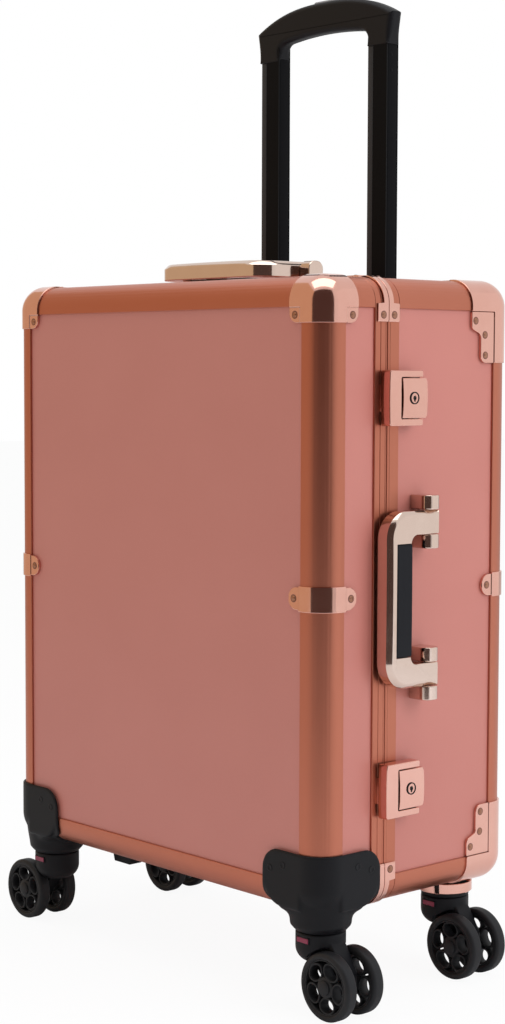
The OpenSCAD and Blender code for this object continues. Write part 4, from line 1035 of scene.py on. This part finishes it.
def tube():
    """Drawn tube: a raised strip at its left, a shallow channel across the wide faces."""
    w, d, r = TUBE_HALF, TUBE_DEPTH / 2, 1.6
    corner = [(r * (1 - math.sin(t)), r * (1 - math.cos(t))) for t in np.radians(np.linspace(0, 90, 6))]
    near = [(-w + a, -d + b) for a, b in corner[::-1]]
    near += [(-6.1, -d), (-5.9, -d + 0.8), (12.2, -d + 0.8), (12.4, -d)]
    near += [(w - a, -d + b) for a, b in corner]
    loop = np.array(near + [(x, -y) for x, y in near[::-1]])
    rows = [(0, TUBE_FOOT), (0, 700.0), (0, TUBE_TOP), (1.3, TUBE_TOP), (1.3, TUBE_FOOT)]
    return loft(layers(loop, rows), True)


def trolley_grip():
    """Arched grip with two sleeves, all its edges well rounded."""
    arch = [(x, 858.5 - 21.5 * abs(x / 98.5) ** 2.6) for x in np.linspace(98.2, -98.2, 71)]
    outline = [(-98.2, 837), (-93, SLEEVE_Z), (-64.4, SLEEVE_Z), (-62.5, 822), (62.5, 822), (64.4, SLEEVE_Z),
               (93, SLEEVE_Z), (98.2, 837)]
    lower = rounded(outline, [0, 1.4, 1.4, 9, 9, 1.4, 1.4, 0], 1.0, 5.0, closed=False)[1:-1]
    inside = (lower[:, 1] > 815) & (np.abs(lower[:, 0]) < 63)
    lower[:, 1] += 5.0 * inside * (1 - (lower[:, 0] / 63) ** 2)
    loop = np.concatenate([lower, arch])
    edge = np.where(loop[:, 1] < SLEEVE_Z + 4, 1.1, 5.6)
    for _ in range(3):
        edge = (np.roll(edge, 1) + edge + np.roll(edge, -1)) / 3
    rule = basis((0, TROLLEY_Y, 0), X, Z, -Y)
    body = moved(plate(loop, -8.6, 8.6, edge, edge, 7), rule)
    pockets = [moved(block((27.2, 14.7, 20), 0.3), shift(x, TROLLEY_Y, 801)) for x in (-TUBE_X, TUBE_X)]
    button_room = plate(rect(-17.4, -5.4, 17.4, 5.4, 5.2, 0.6), 839.5, 870, 0.2, 0.2)
    pockets.append(moved(button_room, shift(0, TROLLEY_Y, 0)))
    return cut(body, pockets)


tubes = copies([(TUBE, tube())], *[shift(x, TROLLEY_Y, 0) for x in (-TUBE_X, TUBE_X)])
# Thin strips on the raised parts of the tubes, lighter for their painted sheen
strip = block((7.2, 0.5, 500), 0.12)
pin_head = turned([(0, 0.2), (1.6, 0.15), (2.2, -0.1), (2.2, -0.5), (0, -0.5)], 24)
STRIP_Y = TUBE_DEPTH / 2 - 0.15
for s in (-1, 1):
    for y in (-STRIP_Y, STRIP_Y):
        place = shift(s * TUBE_X - TUBE_HALF + 4.4, TROLLEY_Y + y, TUBE_FOOT)
        tubes.append((TUBE_STRIP_SHEEN, moved(strip, place)))
for s in (-1, 1):
    for z in (781, 796):
        seat = basis((s * (TUBE_X + TUBE_HALF), TROLLEY_Y - 1.5, z), Y, Z, s * X)
        tubes.append((TUBE, moved(pin_head, seat)))
piece("trolley_tube_pair", "trolley", tubes, ["trolley_tubes"], "black_metal", 30)
piece("trolley_grip_moulding", "trolley", [(MOULDED, trolley_grip())], ["trolley_grip"], "black_plastic", 40)
button = moved(plate(rect(-17, -5, 17, 5, 4.8, 0.5), 845, 859.8, 1.3, 0.3, 5), shift(0, TROLLEY_Y, 0))
piece("trolley_push_button_cap", "trolley_push_button", [(BUTTON, button)], ["trolley_button"], "button", 40)


# Pieces that keep the CAD's shape, with their edges broken. Each row: name, body, finish, node, slot,
# width of the broken edge, its steps, and the angle above which an edge stays crisp
for name, body, finish, node, slot, edge, steps, sharp in (
        ("front_skid", "lid", MOULDED, "lid_skid", "black_plastic", 0.8, 2, 32),
        ("hinge_and_handle_pins", "base", STEEL, "pivot_pins", "steel", 0.3, 2, 40),
        ("latch_plates", "base", PLATED, "latch_base_plates", "fitting", 0.3, 2, 32),
        ("latch_hooks", "lid", PLATED, "latch_strikes", "fitting", 0.3, 2, 32),
        ("base_hinge_plates", "base", PLATED, "base_hinge_leaves", "fitting", 0.3, 2, 32),
        ("lid_hinge_plates", "lid", PLATED, "lid_hinge_leaves", "fitting", 0.3, 2, 32),
        ("tube_bezels", "base", MOULDED, "trolley_bezels", "black_plastic", 0.8, 3, 32),
        ("tube_guides", "base", MOULDED, "trolley_channels", "black_plastic", 0.3, 2, 32),
        ("lid_liner", "lid", LINING, "lid_lining", "lining", 0.5, 2, 30),
        ("base_liner", "base", LINING, "base_lining", "lining", 0.5, 2, 30),
        ("shelf_boards", "base", BOARD, "divider_shelves", "board", 0.9, 3, 32),
        ("rear_cover_board", "base", BOARD, "trolley_cover_board", "board", 0.3, 2, 32),
        ("lid_mirror_glass", "lid", MIRROR, "mirror", "mirror", 0.7, 3, 20)):
    piece(name, body, [(finish, dressed(node, edge, steps))], [node], slot, sharp)


# Floor, cards and lamps


def sheet(name, size):
    """A flat rectangle about the origin."""
    mesh = bpy.data.meshes.new(name)
    a, b = size[0] / 2, size[1] / 2
    mesh.from_pydata([(-a, -b, 0), (a, -b, 0), (a, b, 0), (-a, b, 0)], [], [(0, 1, 2, 3)])
    return linked(name, mesh)


def card(name, centre, facing, size, code, strength):
    """A glowing card that only reflections see: it paints a reflection and lights nothing."""
    result = sheet(name, size)
    turn = Vector(facing).to_track_quat("Z", "Y").to_matrix().to_4x4()
    result.matrix_world = Matrix.Translation(centre) @ turn
    material, tree = new_material(name)
    tree.nodes.clear()
    glow = add(tree, "ShaderNodeEmission", {"Color": linear(code), "Strength": strength})
    add(tree, "ShaderNodeOutputMaterial", {0: glow})
    result.data.materials.append(material)
    for ray in ("camera", "diffuse", "shadow", "transmission"):
        setattr(result, f"visible_{ray}", False)


def build_floor():
    """White paper that glows toward the camera and is lit plainly otherwise."""
    result = sheet("floor", (24, 24))
    material, tree = new_material("white paper floor")
    shader = tree.nodes["Principled BSDF"]
    place = add(tree, "ShaderNodeTexCoord").outputs["Object"]
    grain = add(tree, "ShaderNodeTexNoise", {"Vector": place, "Scale": 400.0})
    tone = ramp(tree, grain, [(0.3, "#fafafa"), (0.7, "#ffffff")])
    feed(tree, shader, {"Base Color": tone, "Roughness": 0.9})
    glow = add(tree, "ShaderNodeEmission", {"Color": (1, 1, 1, 1), "Strength": 1.0})
    seen = maths(tree, "MULTIPLY", add(tree, "ShaderNodeLightPath").outputs["Is Camera Ray"], 0.93)
    mixed = add(tree, "ShaderNodeMixShader", {0: seen, 1: shader, 2: glow})
    feed(tree, tree.nodes["Material Output"], {0: mixed})
    result.data.materials.append(material)


def lamp(name, place, target, size, power, tint=(1.0, 1.0, 1.0)):
    data = bpy.data.lights.new(name, "AREA")
    data.shape = "RECTANGLE"
    data.size, data.size_y = size
    data.energy = power
    data.color = tint
    result = linked(name, data)
    result.location = place
    result.rotation_euler = (Vector(target) - Vector(place)).to_track_quat("-Z", "Y").to_euler()
    return result


def build_world():
    """White to the camera, a little less in reflections, and a plain soft light otherwise."""
    world = bpy.data.worlds.new("studio")
    bpy.context.scene.world = world
    world.use_nodes = True
    tree = world.node_tree
    tree.nodes.clear()
    path = add(tree, "ShaderNodeLightPath").outputs
    seen = maths(tree, "MAXIMUM", path["Is Camera Ray"], path["Is Transmission Ray"])
    whole = add(tree, "ShaderNodeMapRange", {"Value": seen, "To Min": 0.6, "To Max": 1.0})
    strength = maths(tree, "MAXIMUM", whole, maths(tree, "MULTIPLY", path["Is Glossy Ray"], 0.94))
    light = add(tree, "ShaderNodeBackground", {"Color": (1, 1, 1, 1), "Strength": strength})
    add(tree, "ShaderNodeOutputWorld", {0: light})


build_world()
build_floor()
right_box = lamp("right box", (2.4, 0.7, 1.6), (0.2, 0, 0.4), (1.6, 1.8), 27, (0.92, 1.0, 1.12))
right_box.visible_glossy = False
lamp("top box", (0.2, -0.2, 2.6), (0, 0, 0.4), (2.4, 1.6), 22)
card("tan card", (-1.5, -1.4, 1.2), (0.743, 0.669, 0), (5.0, 4.0), "#e0c4a4", 0.95)
card("dark card", (1.11, -1.31, 1.1), (-0.743, 0.669, 0), (2.93, 3.0), "#6c5954", 0.6)
card("pale card", (1.7, 1.53, 0.9), (-0.743, -0.669, 0), (3.0, 3.0), "#ffffff", 1.0)


# Camera: fitted to the case's corners in the photograph

YAW, PITCH, ROLL = math.radians(48.0355), math.radians(4.033), math.radians(0.1788)
forward = Vector((-math.sin(YAW) * math.cos(PITCH), math.cos(YAW) * math.cos(PITCH), -math.sin(PITCH)))
level = forward.cross(Vector((0, 0, 1))).normalized()
rise = level.cross(forward)
right = math.cos(ROLL) * level + math.sin(ROLL) * rise
upward = -math.sin(ROLL) * level + math.cos(ROLL) * rise
data = bpy.data.cameras.new("camera")
data.lens = 70.35
data.sensor_width = 36.0
data.clip_end = 50
camera = linked("camera", data)
camera.matrix_world = Matrix.Translation((1.4811, -1.3317, 0.5778)) @ Matrix(
    (right, upward, -forward)).transposed().to_4x4()
bpy.context.scene.camera = camera
bpy.context.scene.view_settings.view_transform = "Standard"
